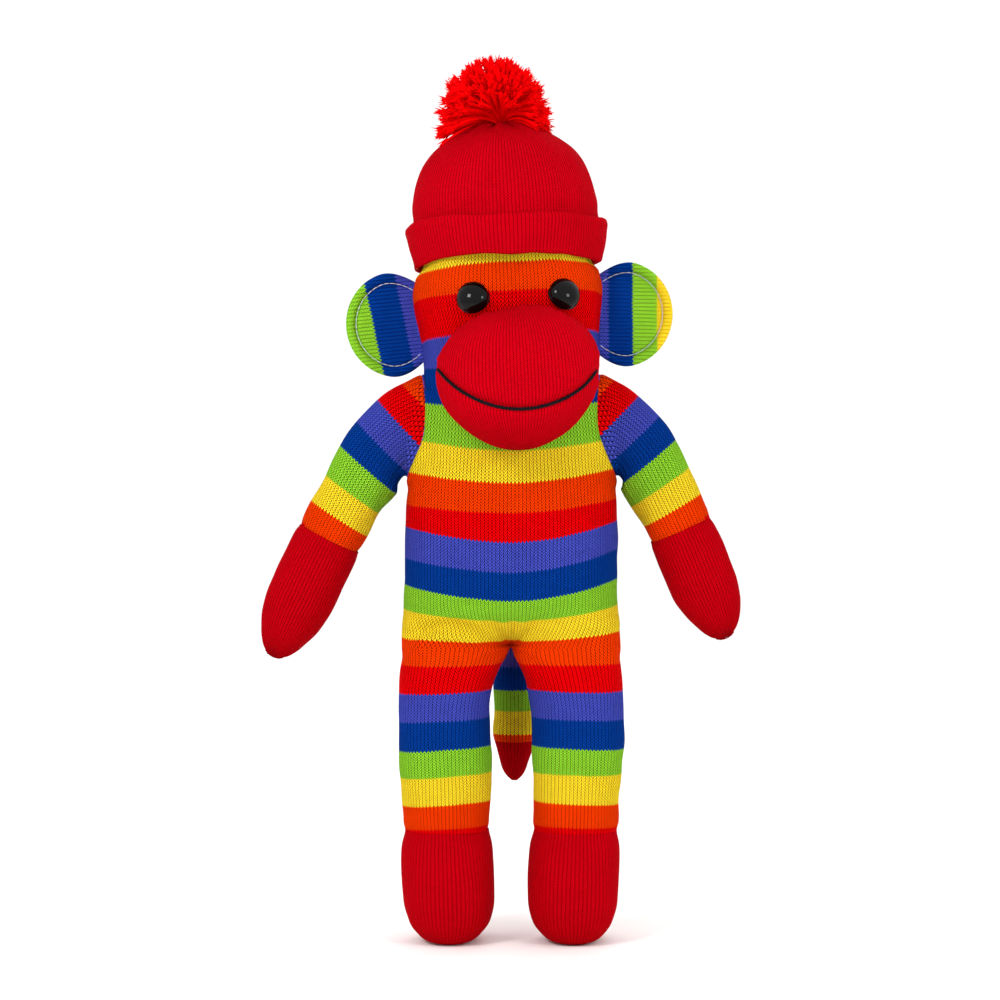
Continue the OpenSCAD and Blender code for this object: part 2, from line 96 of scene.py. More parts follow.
def curve(table, at):
    """Smooth Hermite curve through a table whose first column rises; one row for each value in at."""
    table = np.array(table, float)
    x, y = table[:, 0], table[:, 1:]
    step = np.diff(x)
    slope = np.diff(y, axis=0) / step[:, None]
    tangent = np.zeros_like(y)
    tangent[0], tangent[-1] = slope[0], slope[-1]
    same = slope[:-1] * slope[1:] > 0
    mean = np.where(same, 2 * slope[:-1] * slope[1:] / np.where(same, slope[:-1] + slope[1:], 1), 0)
    tangent[1:-1] = mean
    at = np.clip(np.atleast_1d(np.asarray(at, float)), x[0], x[-1])
    k = np.clip(np.searchsorted(x, at, side="right") - 1, 0, len(x) - 2)
    t = ((at - x[k]) / step[k])[:, None]
    h = step[k][:, None]
    return ((2 * t**3 - 3 * t**2 + 1) * y[k] + (t**3 - 2 * t**2 + t) * h * tangent[k]
            + (-2 * t**3 + 3 * t**2) * y[k + 1] + (t**3 - t**2) * h * tangent[k + 1])


def arc(a, b, start, stop, count, power=SQUARE):
    """count + 1 points at even spacing along a superellipse, from one angle to another."""
    t = np.linspace(start, stop, 361)
    x = a * np.sign(np.cos(t)) * np.abs(np.cos(t)) ** (2 / power)
    y = b * np.sign(np.sin(t)) * np.abs(np.sin(t)) ** (2 / power)
    run = np.concatenate([[0], np.cumsum(np.hypot(np.diff(x), np.diff(y)))])
    at = np.linspace(0, run[-1], count + 1)
    return np.stack([np.interp(at, run, x), np.interp(at, run, y)], axis=1)


def turn(axis, degrees):
    return np.array(Matrix.Rotation(math.radians(degrees), 3, axis))


LEAN = turn("Y", HEAD_ROLL) @ turn("X", HEAD_PITCH)


def lean(points):
    """The head's own upright frame to the toy's."""
    pivot = np.array([0, 0, HEAD_Z])
    return (np.asarray(points, float) - pivot) @ LEAN.T + pivot


def noise(points, scale, seed=0):
    """Cheap smooth noise, about -1 to 1, from a few fixed waves."""
    local = np.random.default_rng(SEED + seed)
    points = np.asarray(points, float)
    total = np.zeros(points.shape[:-1])
    for _ in range(9):
        wave = local.normal(size=3) / scale
        total += np.sin(points @ wave * 2 * math.pi + local.uniform(0, 6.28))
    return total / 4


def normals(grid, wrap):
    """Unit normals of a rows x columns grid of points, facing out where columns run as here."""
    along = np.gradient(grid, axis=0)
    if wrap:
        across = np.roll(grid, -1, 1) - np.roll(grid, 1, 1)
    else:
        across = np.gradient(grid, axis=1)
    n = np.cross(across, along)
    return n / np.maximum(np.linalg.norm(n, axis=-1, keepdims=True), 1e-9)


def mesh_piece(name, points, faces, material, uv=None):
    """A mesh object from toy millimetres; uv holds one pair for each face corner."""
    mesh = bpy.data.meshes.new(name)
    mesh.from_pydata(place(points).tolist(), [], [list(map(int, f)) for f in faces])
    if uv is not None:
        layer = mesh.uv_layers.new(name="stitch")
        layer.data.foreach_set("uv", np.asarray(uv, np.float32).ravel())
    mesh.polygons.foreach_set("use_smooth", [True] * len(mesh.polygons))
    mesh.materials.append(material)
    mesh.validate()
    piece = bpy.data.objects.new(name, mesh)
    bpy.context.scene.collection.objects.link(piece)
    return piece


def stitch_map(values, rows, cols):
    """One value for each corner of a grid: spread evenly across, one for each row, or given in full."""
    if np.ndim(values) == 0:
        return np.tile(np.linspace(0, values, cols), (rows, 1))
    if np.ndim(values) == 1:
        return np.repeat(values[:, None], cols, axis=1)
    if values.shape[1] < cols:
        return np.concatenate([values, values[:, :1]], axis=1)
    return values


def grid_piece(name, grid, wales, courses, material, wrap=False, lid=False, flip=False, cap=False):
    """Quads over a rows x columns grid of points, with the map that its knit is laid out by."""
    rows, cols = grid.shape[:2]
    u, v = (stitch_map(values, rows, cols + 1 if wrap else cols) for values in (wales, courses))
    i, j = np.meshgrid(np.arange(rows - 1), np.arange(cols if wrap else cols - 1), indexing="ij")
    i, j = i.ravel(), j.ravel()
    nxt = (j + 1) % cols
    faces = np.stack([i * cols + j, (i + 1) * cols + j, (i + 1) * cols + nxt, i * cols + nxt], axis=1)
    corners = [(i, j), (i + 1, j), (i + 1, j + 1), (i, j + 1)]
    uv = np.stack([np.stack([u[a, b], v[a, b]], axis=-1) for a, b in corners], axis=1)
    if flip:
        faces, uv = faces[:, ::-1], uv[:, ::-1]
    faces, uv = list(faces), list(uv.reshape(-1, 2))
    if lid:
        last = (rows - 1) * cols
        for k in range(cols // 2):
            a, b = k, (k + 1) % cols
            c, d = (cols - 1 - k) % cols, (cols - k) % cols
            ring = []
            for q in (a, d, c, b):
                if q not in ring:
                    ring.append(q)
            if flip:
                ring = ring[::-1]
            faces.append([last + q for q in ring])
            uv.extend([[u[-1, q], v[-1, q]] for q in ring])
    if cap:
        faces.append(list(range(cols)))
        uv.extend([[u[0, q], v[0, q]] for q in range(cols)])
    return mesh_piece(name, grid.reshape(-1, 3), faces, material, uv)


def ring_faces(count, sides):
    """Quads between rings of points, and a face over each end."""
    faces = []
    for k in range(count - 1):
        for s in range(sides):
            a, b = k * sides + s, k * sides + (s + 1) % sides
            faces.append([a, b, b + sides, a + sides])
    faces.append(list(range(sides))[::-1])
    faces.append(list(range((count - 1) * sides, count * sides)))
    return faces


def tube(path, radius, sides):
    """Points and faces of a round tube along a path; radius is one number or one for each point."""
    path = np.asarray(path, float)
    along = np.gradient(path, axis=0)
    along /= np.maximum(np.linalg.norm(along, axis=1, keepdims=True), 1e-9)
    side = np.zeros_like(path)
    guess = np.array([0.31, 0.52, 0.79])
    for k in range(len(path)):
        guess = guess - along[k] * (guess @ along[k])
        guess /= max(np.linalg.norm(guess), 1e-9)
        side[k] = guess
    up = np.cross(along, side)
    t = np.arange(sides) * 2 * math.pi / sides
    r = np.zeros(len(path)) + radius
    rings = path[:, None] + r[:, None, None] * (side[:, None] * np.cos(t)[None, :, None]
                                                 + up[:, None] * np.sin(t)[None, :, None])
    return rings.reshape(-1, 3), ring_faces(len(path), sides)


def join(parts):
    """Several (points, faces) as one."""
    points, faces, base = [], [], 0
    for p, f in parts:
        points.append(p)
        faces.extend([[base + q for q in face] for face in f])
        base += len(p)
    return np.concatenate(points), faces


def run_of(line):
    """Distance from the start along a line of points, or along rows of rings."""
    step = np.linalg.norm(np.diff(line, axis=0), axis=-1)
    return np.concatenate([[0], np.cumsum(step.reshape(len(step), -1).mean(axis=1))])


def points_at(line, run, at):
    return np.stack([np.interp(at, run, line[:, k]) for k in range(3)], axis=1)


def stitches(line, at, room, length, count, step):
    """Short stitches along a line, each a row of points, as long as there is room for one."""
    run = run_of(line)
    made = []
    while at + room < run[-1]:
        made.append(points_at(line, run, np.linspace(at, at + length, count)))
        at += step
    return made


def plied(path, radius, pitch):
    """Yarn of two strands twisted round a path."""
    path = np.asarray(path, float)
    run = run_of(path)
    at = np.linspace(0, run[-1], max(8, int(run[-1] / 0.28)) + 1)
    line = points_at(path, run, at)
    along = np.gradient(line, axis=0)
    along /= np.linalg.norm(along, axis=1, keepdims=True)
    side = np.cross(along, [0.03, -1.0, 0.05])
    side /= np.linalg.norm(side, axis=1, keepdims=True)
    up = np.cross(along, side)
    parts = []
    for start in (0, 0.5):
        t = 2 * math.pi * (at / pitch + start)
        off = radius * 0.5 * (side * np.cos(t)[:, None] + up * np.sin(t)[:, None])
        parts.append(tube(line + off, radius * 0.56, 7))
    return join(parts)


# --- materials ----------------------------------------------------------------------------------
def linear(r, g, b):
    """Display colour, 0 to 255, to linear light."""
    shares = [c / 255 for c in (r, g, b)]
    return tuple(((c + 0.055) / 1.055) ** 2.4 if c > 10 / 255 else c / 12.92 for c in shares) + (1,)


YELLOW, ORANGE, RED = linear(255, 220, 42), linear(252, 60, 0), linear(236, 0, 6)
VIOLET, BLUE, GREEN = linear(66, 76, 184), linear(4, 58, 148), linear(140, 208, 48)
CRIMSON, HAT_RED, MUZZLE_RED = linear(175, 0, 12), linear(183, 0, 16), linear(187, 0, 16)
STRIPES = [YELLOW, ORANGE, RED, VIOLET, BLUE, GREEN]


class Graph:
    """Short calls for one material's node graph."""

    def __init__(self, name):
        self.material = bpy.data.materials.new(name)
        self.material.use_nodes = True
        self.tree = self.material.node_tree
        self.tree.nodes.clear()
        self.out = self.add("OutputMaterial")
        self.shader = self.add("BsdfPrincipled")
        self.tree.links.new(self.shader.outputs[0], self.out.inputs[0])

    def add(self, kind, **values):
        node = self.tree.nodes.new("ShaderNode" + kind)
        for key, value in values.items():
            setattr(node, key, value)
        return node

    def put(self, socket, value):
        if isinstance(value, bpy.types.NodeSocket):
            self.tree.links.new(value, socket)
        else:
            socket.default_value = value

    def math(self, operation, a, b=None, c=None):
        node = self.add("Math", operation=operation)
        for k, value in enumerate((a, b, c)):
            if value is not None:
                self.put(node.inputs[k], value)
        return node.outputs[0]

    def steps(self, fac, stops):
        """Colours that change sharply at the given places."""
        node = self.add("ValToRGB")
        node.color_ramp.interpolation = "CONSTANT"
        parts = node.color_ramp.elements
        while len(parts) > 1:
            parts.remove(parts[-1])
        parts[0].position, parts[0].color = stops[0]
        for position, colour in stops[1:]:
            parts.new(position).color = colour
        self.put(node.inputs[0], fac)
        return node.outputs[0]

    def smooth(self, value, low, high):
        node = self.add("MapRange", interpolation_type="SMOOTHSTEP")
        for k, v in enumerate((value, low, high, 0.0, 1.0)):
            self.put(node.inputs[k], v)
        return node.outputs[0]

    def vector(self, x, y):
        node = self.add("CombineXYZ")
        self.put(node.inputs[0], x)
        self.put(node.inputs[1], y)
        return node.outputs[0]

    def noise(self, vector, scale, detail):
        node = self.add("TexNoise")
        self.put(node.inputs["Vector"], vector)
        node.inputs["Scale"].default_value = scale
        node.inputs["Detail"].default_value = detail
        return node.outputs["Fac"]

    def plain(self, colour):
        node = self.add("RGB")
        node.outputs[0].default_value = colour
        return node.outputs[0]

    def scaled(self, colour, amount):
        node = self.add("VectorMath", operation="SCALE")
        self.put(node.inputs[0], colour)
        self.put(node.inputs["Scale"], amount)
        return node.outputs[0]

    def bump(self, height, distance, strength):
        node = self.add("Bump")
        node.inputs["Strength"].default_value = strength
        node.inputs["Distance"].default_value = distance
        self.put(node.inputs["Height"], height)
        self.put(self.shader.inputs["Normal"], node.outputs[0])

    def finish(self, colour, roughness, specular):
        self.put(self.shader.inputs["Base Color"], colour)
        self.put(self.shader.inputs["Roughness"], roughness)
        self.shader.inputs["Specular IOR Level"].default_value = specular
        return self.material


def knit(name, colours, shade=0.0, relief=0.0008):
    """Stockinette: columns of V stitches from the stitch map, one colour for each knitted row."""
    slope = 1.05        # rise of a V's arm, in rows for each half column
    g = Graph(name)
    uv = g.add("UVMap", uv_map="stitch").outputs[0]
    wobble = g.math("SUBTRACT", g.noise(uv, 0.16, 3.0), 0.5)
    parts = g.add("SeparateXYZ")
    g.put(parts.inputs[0], uv)
    u = g.math("MULTIPLY_ADD", wobble, 0.3, parts.outputs[0])
    v = g.math("MULTIPLY_ADD", wobble, 0.5, parts.outputs[1])
    column = g.math("FLOOR", u)
    across = g.math("ABSOLUTE", g.math("MULTIPLY_ADD", g.math("FRACT", u), 2.0, -1.0))
    lifted = g.math("MULTIPLY_ADD", across, slope, v)
    row = g.math("FLOOR", lifted)
    within = g.math("FRACT", lifted)
    # Each arm of the V is a fat strand: high along its middle, sunk between rows and columns.
    wave = g.math("SINE", g.math("MULTIPLY", within, math.pi))
    strand = g.math("POWER", wave, 0.85)
    # Painted shade: a dark eye of shadow is painted between neighbouring columns at every row.
    between = g.math("SUBTRACT", 1.0, g.math("POWER", wave, 1.5))
    eyelet_shade = g.math("MULTIPLY", g.smooth(across, 0.4, 0.9), between)
    arm = g.math("SINE", g.math("MULTIPLY_ADD", across, math.pi * 0.78, math.pi * 0.13))
    arm = g.math("MULTIPLY_ADD", arm, 0.55, 0.5)
    gap = g.smooth(across, 0.78, 1.0)
    height = g.math("MULTIPLY", strand, g.math("MULTIPLY_ADD", gap, -0.28, arm))
    chance = g.add("TexWhiteNoise", noise_dimensions="2D")
    g.put(chance.inputs["Vector"], g.vector(column, row))
    fibre = g.noise(g.vector(g.math("MULTIPLY", u, 2.2), g.math("MULTIPLY", lifted, 6.0)), 1.6, 3.0)
    count = float(len(colours))
    if count > 1:
        band = g.math("FLOORED_MODULO", g.math("FLOOR", g.math("DIVIDE", row, float(COURSES))), count)
        place_in = g.math("DIVIDE", g.math("ADD", band, 0.5), count)
        base = g.steps(place_in, [(k / count, c) for k, c in enumerate(colours)])
    else:
        base = g.plain(colours[0])
    patch = g.noise(uv, 0.06, 2.0)
    # Painted light and shade of the stitch relief: the colour is brightest on the strands' tops and darkened
    # where they sink between rows and columns and in the eye between columns; shade is how much colour is
    # left in the deepest of it.
    light = g.math("MULTIPLY_ADD", height, 1.0 - shade, shade)
    light = g.math("MULTIPLY", light, g.math("MULTIPLY_ADD", eyelet_shade, -1.0, 1.1))
    light = g.math("MULTIPLY", light, g.math("MULTIPLY_ADD", fibre, 0.4, 1.14))
    light = g.math("MULTIPLY", light, g.math("MULTIPLY_ADD", chance.outputs["Value"], 0.1, 0.95))
    light = g.math("MULTIPLY", light, g.math("MULTIPLY_ADD", patch, 0.2, 1.0))
    g.bump(g.math("MULTIPLY_ADD", fibre, 0.25, height), relief, 0.85)
    return g.finish(g.scaled(base, light), g.math("MULTIPLY_ADD", fibre, 0.1, 0.86), 0.01)


def yarn(name, colour, scale=900.0, rough=0.85, spread=0.5):
    """Plain spun yarn: fine fibres and small changes of tone."""
    g = Graph(name)
    at = g.add("TexCoord").outputs["Object"]
    fine = g.noise(at, scale * 2.4, 3.0)
    broad = g.noise(at, scale * 0.25, 2.0)
    tone = g.math("MULTIPLY_ADD", broad, spread, 1.0 - spread * 0.5)
    tone = g.math("MULTIPLY", tone, g.math("MULTIPLY_ADD", fine, 0.5, 0.75))
    g.bump(fine, 0.00015, 0.7)
    return g.finish(g.scaled(g.plain(colour), tone), rough, 0.02)


def plastic(name, colour, rough):
    """Smooth moulded plastic with faint changes of tone."""
    g = Graph(name)
    cloud = g.noise(g.add("TexCoord").outputs["Object"], 220.0, 3.0)
    g.bump(cloud, 0.00001, 0.2)
    return g.finish(g.scaled(g.plain(colour), g.math("MULTIPLY_ADD", cloud, 0.3, 0.85)),
                    g.math("MULTIPLY_ADD", cloud, 0.03, rough), 0.16)


sock = knit("striped_knit", STRIPES)
ear_knit = knit("ear_striped_knit", STRIPES, shade=0.32)
crimson_knit = knit("crimson_knit", [CRIMSON], shade=0.36, relief=0.0004)
hat_red_knit = knit("red_hat_knit", [HAT_RED], shade=0.38, relief=0.0004)
muzzle_red_knit = knit("red_muzzle_knit", [MUZZLE_RED], shade=0.38, relief=0.0004)
pompom_yarn = yarn("red_pompom_yarn", linear(242, 0, 4), 700.0, spread=0.6)
red_thread = yarn("red_thread", linear(150, 2, 10))
crimson_thread = yarn("crimson_thread", linear(150, 3, 14))
white_thread = yarn("white_thread", linear(206, 208, 214), spread=0.15)
black_yarn = yarn("black_yarn", linear(26, 24, 28), 700.0, rough=0.7)
violet_thread = yarn("striped_thread", linear(70, 74, 170))
eye_plastic = plastic("eye_plastic", linear(6, 5, 6), 0.04)
washer_plastic = plastic("washer_plastic", linear(226, 224, 216), 0.45)


def keep(piece, nodes=(), ride=None, blend=None):
    """Hides the CAD parts that a piece stands for; with ride it hangs the piece from that body, and with
    blend it bakes the piece's placing into its points.
    """
    if nodes:
        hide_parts(*nodes)
    if ride:
        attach(piece, ride)
    if blend:
        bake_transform(piece)


# --- stripes ------------------------------------------------------------------------------------
# Height of each colour change down the front, with how much higher it runs at the toy's right
# side and at its left side. Stripe 1 is the orange one under the hat.
BANDS = np.array([
    [-7, 314, 0, 0], [-4, 283, 0, 0], [-2, 262, 0, 0], [-1, 251.6, 0, 0], [0, 241.4, 0, 0],
    [1, 231.0, -2.2, 0], [2, 220.8, 0, 0], [3, 207.2, -0.6, 0.6], [4, 196.6, 0.5, 2],
    [5, 183.2, 2.6, 3], [6, 169, 4, 4], [7, 158.2, 3.3, 4.7], [8, 148, 2.2, 4.3],
    [9, 138, 4.6, 6.8], [10, 127.7, 4, 7],
    [11, 118, 4.6, 6.4], [12, 111, 3, 4.6], [13, 103.8, 0.4, 2.8], [14, 95.6, -0.6, 0],
    [15, 86.6, -1.4, -0.6], [16, 77, -1.6, -0.8], [17, 67.2, -2, -1.2], [18, 58.1, -2.2, -0.8],
    [19, 48.3, -2, -1.4], [20, 39.9, -1.4, -0.6], [22, 20, 0, 0]])


def stripe(points):
    """Place down the stripes, 0 where yellow starts, for points on the head, torso and legs."""
    x, y, z = points[..., 0], points[..., 1], points[..., 2]
    side = np.clip(np.abs(x) / 36, 0, 1.1) ** 1.7
    back = smoothstep((y + 4) / 24) * (1 - np.clip(np.abs(x) / 40, 0, 1)) * 0.6
    share = side + back
    result = np.zeros(x.shape)
    to_left = smoothstep((x.ravel() + 14) / 28)
    tilt = BANDS[:, 2][:, None] * (1 - to_left) + BANDS[:, 3][:, None] * to_left
    heights = BANDS[:, 1][:, None] + tilt * share.ravel()
    flat, level = result.ravel(), z.ravel()
    for k in range(len(BANDS) - 1):
        top, low = heights[k], heights[k + 1]
        inside = (level <= top) & (level > low)
        flat[inside] = (BANDS[k, 0] + (BANDS[k + 1, 0] - BANDS[k, 0])
                        * (top[inside] - level[inside]) / (top[inside] - low[inside]))
    flat[level <= heights[-1]] = BANDS[-1, 0]
    return flat.reshape(x.shape)


# --- torso, hips and legs -----------------------------------------------------------------------
RING = 96           # columns round one leg, and round one half of the torso
WALES = 76.0        # stitch columns round one leg
COURSE = 0.98       # height of a row of the dark red knit
ANKLE_PULL = 0.035  # how far the ankle seam draws the leg in, as a share of its width

TORSO = [[100, 37.8, 19.6, 1], [104, 38, 20.2, 1], [109, 38, 21.6, 1], [114, 37.5, 22.3, 0.5],
         [124, 36.9, 23, 0], [136, 36.7, 23.5, -0.5], [147, 36.5, 23.7, -1], [158, 35.7, 23.5, -1],
         [166, 34.4, 23, -0.5], [176, 32.9, 23, 0], [186, 31.4, 23, 0], [196.6, 29.7, 23, 0],
         [198, 29.5, 23.2, 0], [201.4, 29.4, 23.4, 0]]
LEG = [[38, 22.3, 14.9, 15, -0.5], [54, 22.7, 15.4, 15, 0], [68, 23.1, 16, 15.6, 0.3],
       [78, 23, 16, 16.3, 0.3], [88, 22, 16.4, 17.2, 0], [94, 20.7, 17.2, 18, 0],
       [98, 19.6, 18, 18.6, 0.3], [100.6, 19.3, 18.6, 18.9, 0.6], [CROTCH_Z, 18.95, 18.95, 19, 0.8],
       [118, 18.7, 18.7, 19.6, 0.5]]
FOOT = [[-38, 22.3, 14.9, 15, -0.5], [-36, 22.2, 15.1, 15.3, -0.9], [-30, 22, 15.7, 16.6, -2],
        [-22, 21.7, 15.9, 18.2, -3.2], [-14, 21.5, 15.7, 18.6, -3.8], [-7, 21.3, 14.0, 17.6, -4],
        [-2.6, 21.3, 10.9, 15.4, -4], [-0.8, 21.3, 8.6, 13.6, -4], [-0.1, 21.3, 6.2, 11.2, -4]]


def half_ring(z, side):
    """One half of the torso's section from the front middle to the back middle, or the leg's ring."""
    wide, deep, mid = curve(TORSO, z)[0]
    torso = arc(wide, deep, -math.pi / 2, math.pi / 2, RING) + [0, mid]
    if z >= HIP_TOP:
        flat = torso
    else:
        x, a, b, y = curve(LEG, z)[0]
        leg = arc(a, b, -math.pi, math.pi, RING) + [x, y]
        t = min(1, (HIP_TOP - z) / (HIP_TOP - CROTCH_Z))
        if z < CROTCH_Z + 1e-6:
            flat = leg
        else:
            # The two layers of the sock come together in a rounded pinch over the crotch.
            share = np.linspace(-1, 1, RING + 1)
            near = np.abs(share) ** 3
            mix = (1 - math.sqrt(1 - t**2.2)) * near + (1 - near) * t**1.5
            flat = torso * (1 - mix[:, None]) + leg * mix[:, None]
            flat[0, 0] = flat[-1, 0] = 0
            flat[:, 0] = np.maximum(flat[:, 0], 0)
    return np.column_stack([side * flat[:, 0], flat[:, 1], np.full(RING + 1, z)])


def creases(points, n):
    """Sags and folds of the stuffed sock, as a movement along the normals."""
    x, y, z = points[..., 0], points[..., 1], points[..., 2]
    front = smoothstep((6 - y) / 18)
    # The hip fold on the toy's right thigh, and a lighter one on the left.
    right = smoothstep((-x - 4) / 12) * (1 - smoothstep((-x - 30) / 7))
    left = smoothstep((x - 8) / 12)
    line = 104.6 + 1.4 * np.sin(x * 0.22)
    move = -3.2 * right * front * bell(z - line, 1.5)
    move += 1.9 * right * front * bell(z - line - 3.6, 2.4)
    move -= 0.7 * left * front * bell(z - 105.5 - 0.12 * x, 2.6)
    # Folds that fan from the top of the gap between the legs.
    reach = np.hypot(x, z - CROTCH_Z)
    fan = np.arctan2(z - CROTCH_Z, np.abs(x) + 0.01)
    move += 0.45 * np.sin(fan * 9 + 0.6 * np.sign(x)) * bell(reach - 8, 6) * front
    # Slow lumps of the filling, and the belly's shallow hollows.
    move += 0.5 * noise(points, 62, 1) + 0.22 * noise(points, 24, 2)
    back_fold = smoothstep((y - 4) / 12) * bell(z - 106, 3.5)
    move -= 0.8 * back_fold
    # Fabric drawn in along the armholes.
    hole = np.hypot(y / 14.2, (z - 177.6) / 19.2)
    move -= 0.9 * bell(hole - 1, 0.10) * smoothstep((np.abs(x) - 20) / 8)
    return points + n * (move * smoothstep((201 - z) / 6) * smoothstep((z - 38) / 8))[..., None]


def torso_rows(heights):
    """Whole rings round the torso, front middle by the toy's left to the back and round."""
    rings = []
    for z in heights:
        left, right = half_ring(z, 1), half_ring(z, -1)
        rings.append(np.concatenate([left, right[-2:0:-1]]))
    return np.array(rings)


heights = np.linspace(NECK_LOW, HIP_TOP, 92)
grid = torso_rows(heights)
v = stripe(grid) * COURSES
grid = creases(grid, normals(grid, True))
torso_edge = grid[-1]
body_cover = grid_piece("body_cover", grid, 2 * WALES, v, sock, wrap=True)
keep(body_cover, ["body_sock", "body_stuffing"], ride="torso")


def leg_grid(heights, side):
    rows = np.array([half_ring(z, side) for z in heights])
    v = stripe(rows) * COURSES
    moved = creases(rows, normals(rows, False) * side)
    for k, z in enumerate(heights):
        seam = (moved[k, 0] + moved[k, -1]) / 2
        if z <= CROTCH_Z + 1e-6:
            moved[k, 0] = moved[k, -1] = seam
        else:
            moved[k, 0, 0] = moved[k, -1, 0] = 0
        if z <= CROTCH_Z:
            # The inner leg seam pulls the knit in a little.
            column = np.arange(RING + 1)
            pull = 0.3 * bell(np.minimum(column, RING - column), 2.2)
            moved[k, :, 0] += side * pull * smoothstep((CROTCH_Z - z) / 6)
    return moved, v


for side, name in ((1, "left"), (-1, "right")):
    heights = np.concatenate([np.linspace(HIP_TOP, CROTCH_Z, 21), np.linspace(CROTCH_Z, HIP_LOW, 24)[1:]])
    grid, v = leg_grid(heights, side)
    if side > 0:
        grid[0] = torso_edge[:RING + 1]
    else:
        grid[0] = np.concatenate([torso_edge[:1], torso_edge[:RING - 1:-1]])
    hip = grid_piece(name + "_hip_cover", grid, WALES * side, v, sock, flip=side < 0)
    keep(hip, [name + "_leg_stuffing"],
         blend=("torso", name + "_leg", spot(0, -6, 103), spot(side * 6, -6, 83)))

    heights = np.linspace(HIP_LOW, ANKLE_Z, 52)
    grid, v = leg_grid(heights, side)
    ankle = smoothstep((ANKLE_Z + 3 - heights) / 3)
    centre = grid[:, :-1].mean(axis=1, keepdims=True)
    grid += (centre - grid) * (ANKLE_PULL * ankle)[:, None, None]
    leg = grid_piece(name + "_leg_cover", grid, WALES * side, v, sock, flip=side < 0)
    keep(leg, [name + "_leg_sock"], ride=name + "_leg")

    sole = [-0.35, -0.1, -0.02]
    levels = np.concatenate([np.linspace(-ANKLE_Z, -8, 34), np.linspace(-8, -0.8, 14)[1:], sole])
    table = curve(FOOT, levels)
    rows = []
    for level, (x, a, b, y) in zip(levels, table):
        flat = arc(a, b, -math.pi, math.pi, RING) + [x, y]
        rows.append(np.column_stack([side * flat[:, 0], flat[:, 1], np.full(RING + 1, -level)]))
    rows = np.array(rows)
    closing = rows[-1]
    middle = closing[:-1].mean(axis=0)
    for shrink in (0.75, 0.5, 0.25, 0.06):
        ring = middle + (closing - middle) * [max(shrink, 0.1), shrink, 1]
        ring[:, 2] = 0.0
        rows = np.concatenate([rows, ring[None]])
    n = normals(rows, False) * side
    lump = 0.35 * noise(rows, 30, 5) * smoothstep(rows[..., 2] / 8)
    rows += n * lump[..., None]
    drawn = smoothstep((rows[..., 2] - 33) / 5)
    centre = rows[:, :-1].mean(axis=1, keepdims=True)
    rows += (centre - rows) * (ANKLE_PULL * drawn)[..., None]
    foot = grid_piece(name + "_foot_cover", rows, WALES * side, run_of(rows) / COURSE, crimson_knit,
                      flip=side < 0)
    keep(foot, [name + "_foot_sock"], ride=name + "_leg")


# --- neck and head ------------------------------------------------------------------------------
HEAD = [[201.4, 29.4, 23.4], [205, 29.6, 24.6], [211, 30.4, 26.6], [219, 31.6, 28.4], [225, 32, 29],
        [229.5, 31.4, 28.8], [232.5, 29, 27.6], [240, 27.9, 27.4], [248, 27.6, 27.2], [256, 26, 25.6],
        [262.5, 22.4, 22], [268, 17.4, 17.2], [272.5, 11.4, 11.4], [275, 6, 6], [275.8, 1.4, 1.4]]
COLUMNS = 2 * RING


def head_half(z):
    return curve(HEAD, z)[0]


def head_reach(z, degrees):
    """Distance from the head's middle to its surface in that direction, 0 being straight ahead."""
    a, b = head_half(z)
    s, c = abs(math.sin(math.radians(degrees))), abs(math.cos(math.radians(degrees)))
    return ((s / a) ** SQUARE + (c / b) ** SQUARE) ** (-1 / SQUARE)


def eye_place(side):
    """Middle and outward direction of an eye's seat in the head's own frame."""
    angle = FACE_TURN + side * EYE_SPREAD
    r = head_reach(EYE_Z, angle)
    a, b = head_half(EYE_Z)
    s, c = math.sin(math.radians(angle)), math.cos(math.radians(angle))
    out = np.array([np.sign(s) * (r * abs(s) / a) ** (SQUARE - 1) / a,
                    -(r * c / b) ** (SQUARE - 1) / b, 0.012])
    return np.array([r * s, -r * c, EYE_Z]), out / np.linalg.norm(out)


def head_points(z_values):
    """Rings of the neck and head; the lean comes in over the height of the neck."""
    rings = []
    for z in z_values:
        if z <= HEAD_Z:
            wide, deep, mid = curve(TORSO, z)[0]
        else:
            wide, deep = head_half(z)
            mid = 0
        flat = arc(wide, deep, -math.pi / 2, 1.5 * math.pi, COLUMNS)[:-1] + [0, mid]
        rings.append(np.column_stack([flat, np.full(COLUMNS, z)]))
    return np.array(rings)


def head_grid(z_values):
    upright = head_points(z_values)
    v = stripe(upright) * COURSES
    n = normals(upright, True)
    x, y, z = upright[..., 0], upright[..., 1], upright[..., 2]
    move = 0.35 * noise(upright, 40, 3) * smoothstep((z - 200) / 8)
    for side in (-1, 1):
        seat, _ = eye_place(side)
        away = np.linalg.norm(upright - seat, axis=-1)
        move -= 0.9 * bell(away, 7.5)
        # The ear seam draws the head in along a short upright line.
        ear = np.hypot(y / 3.0, np.maximum(np.abs(z - EAR_Z) - 15, 0) / 4)
        move -= 0.8 * np.exp(-ear**2) * (np.sign(x) == side)
    move += 0.5 * bell(z - 228.5, 3)
    crown = smoothstep((z - 258) / 14)
    angle = np.arctan2(y, x)
    move += crown * 0.7 * np.sin(angle * 13 + 0.7 * np.sin(angle * 3))
    upright = upright + n * move[..., None]
    amount = smoothstep((upright[..., 2] - 195) / 9)[..., None]
    return upright * (1 - amount) + lean(upright) * amount, v


def head_piece(name, z_values):
    grid, v = head_grid(z_values)
    return grid_piece(name, grid, 2 * WALES, v, sock, wrap=True)


def down(a, b, step):
    return np.linspace(a, b, int(abs(a - b) / step) + 1)


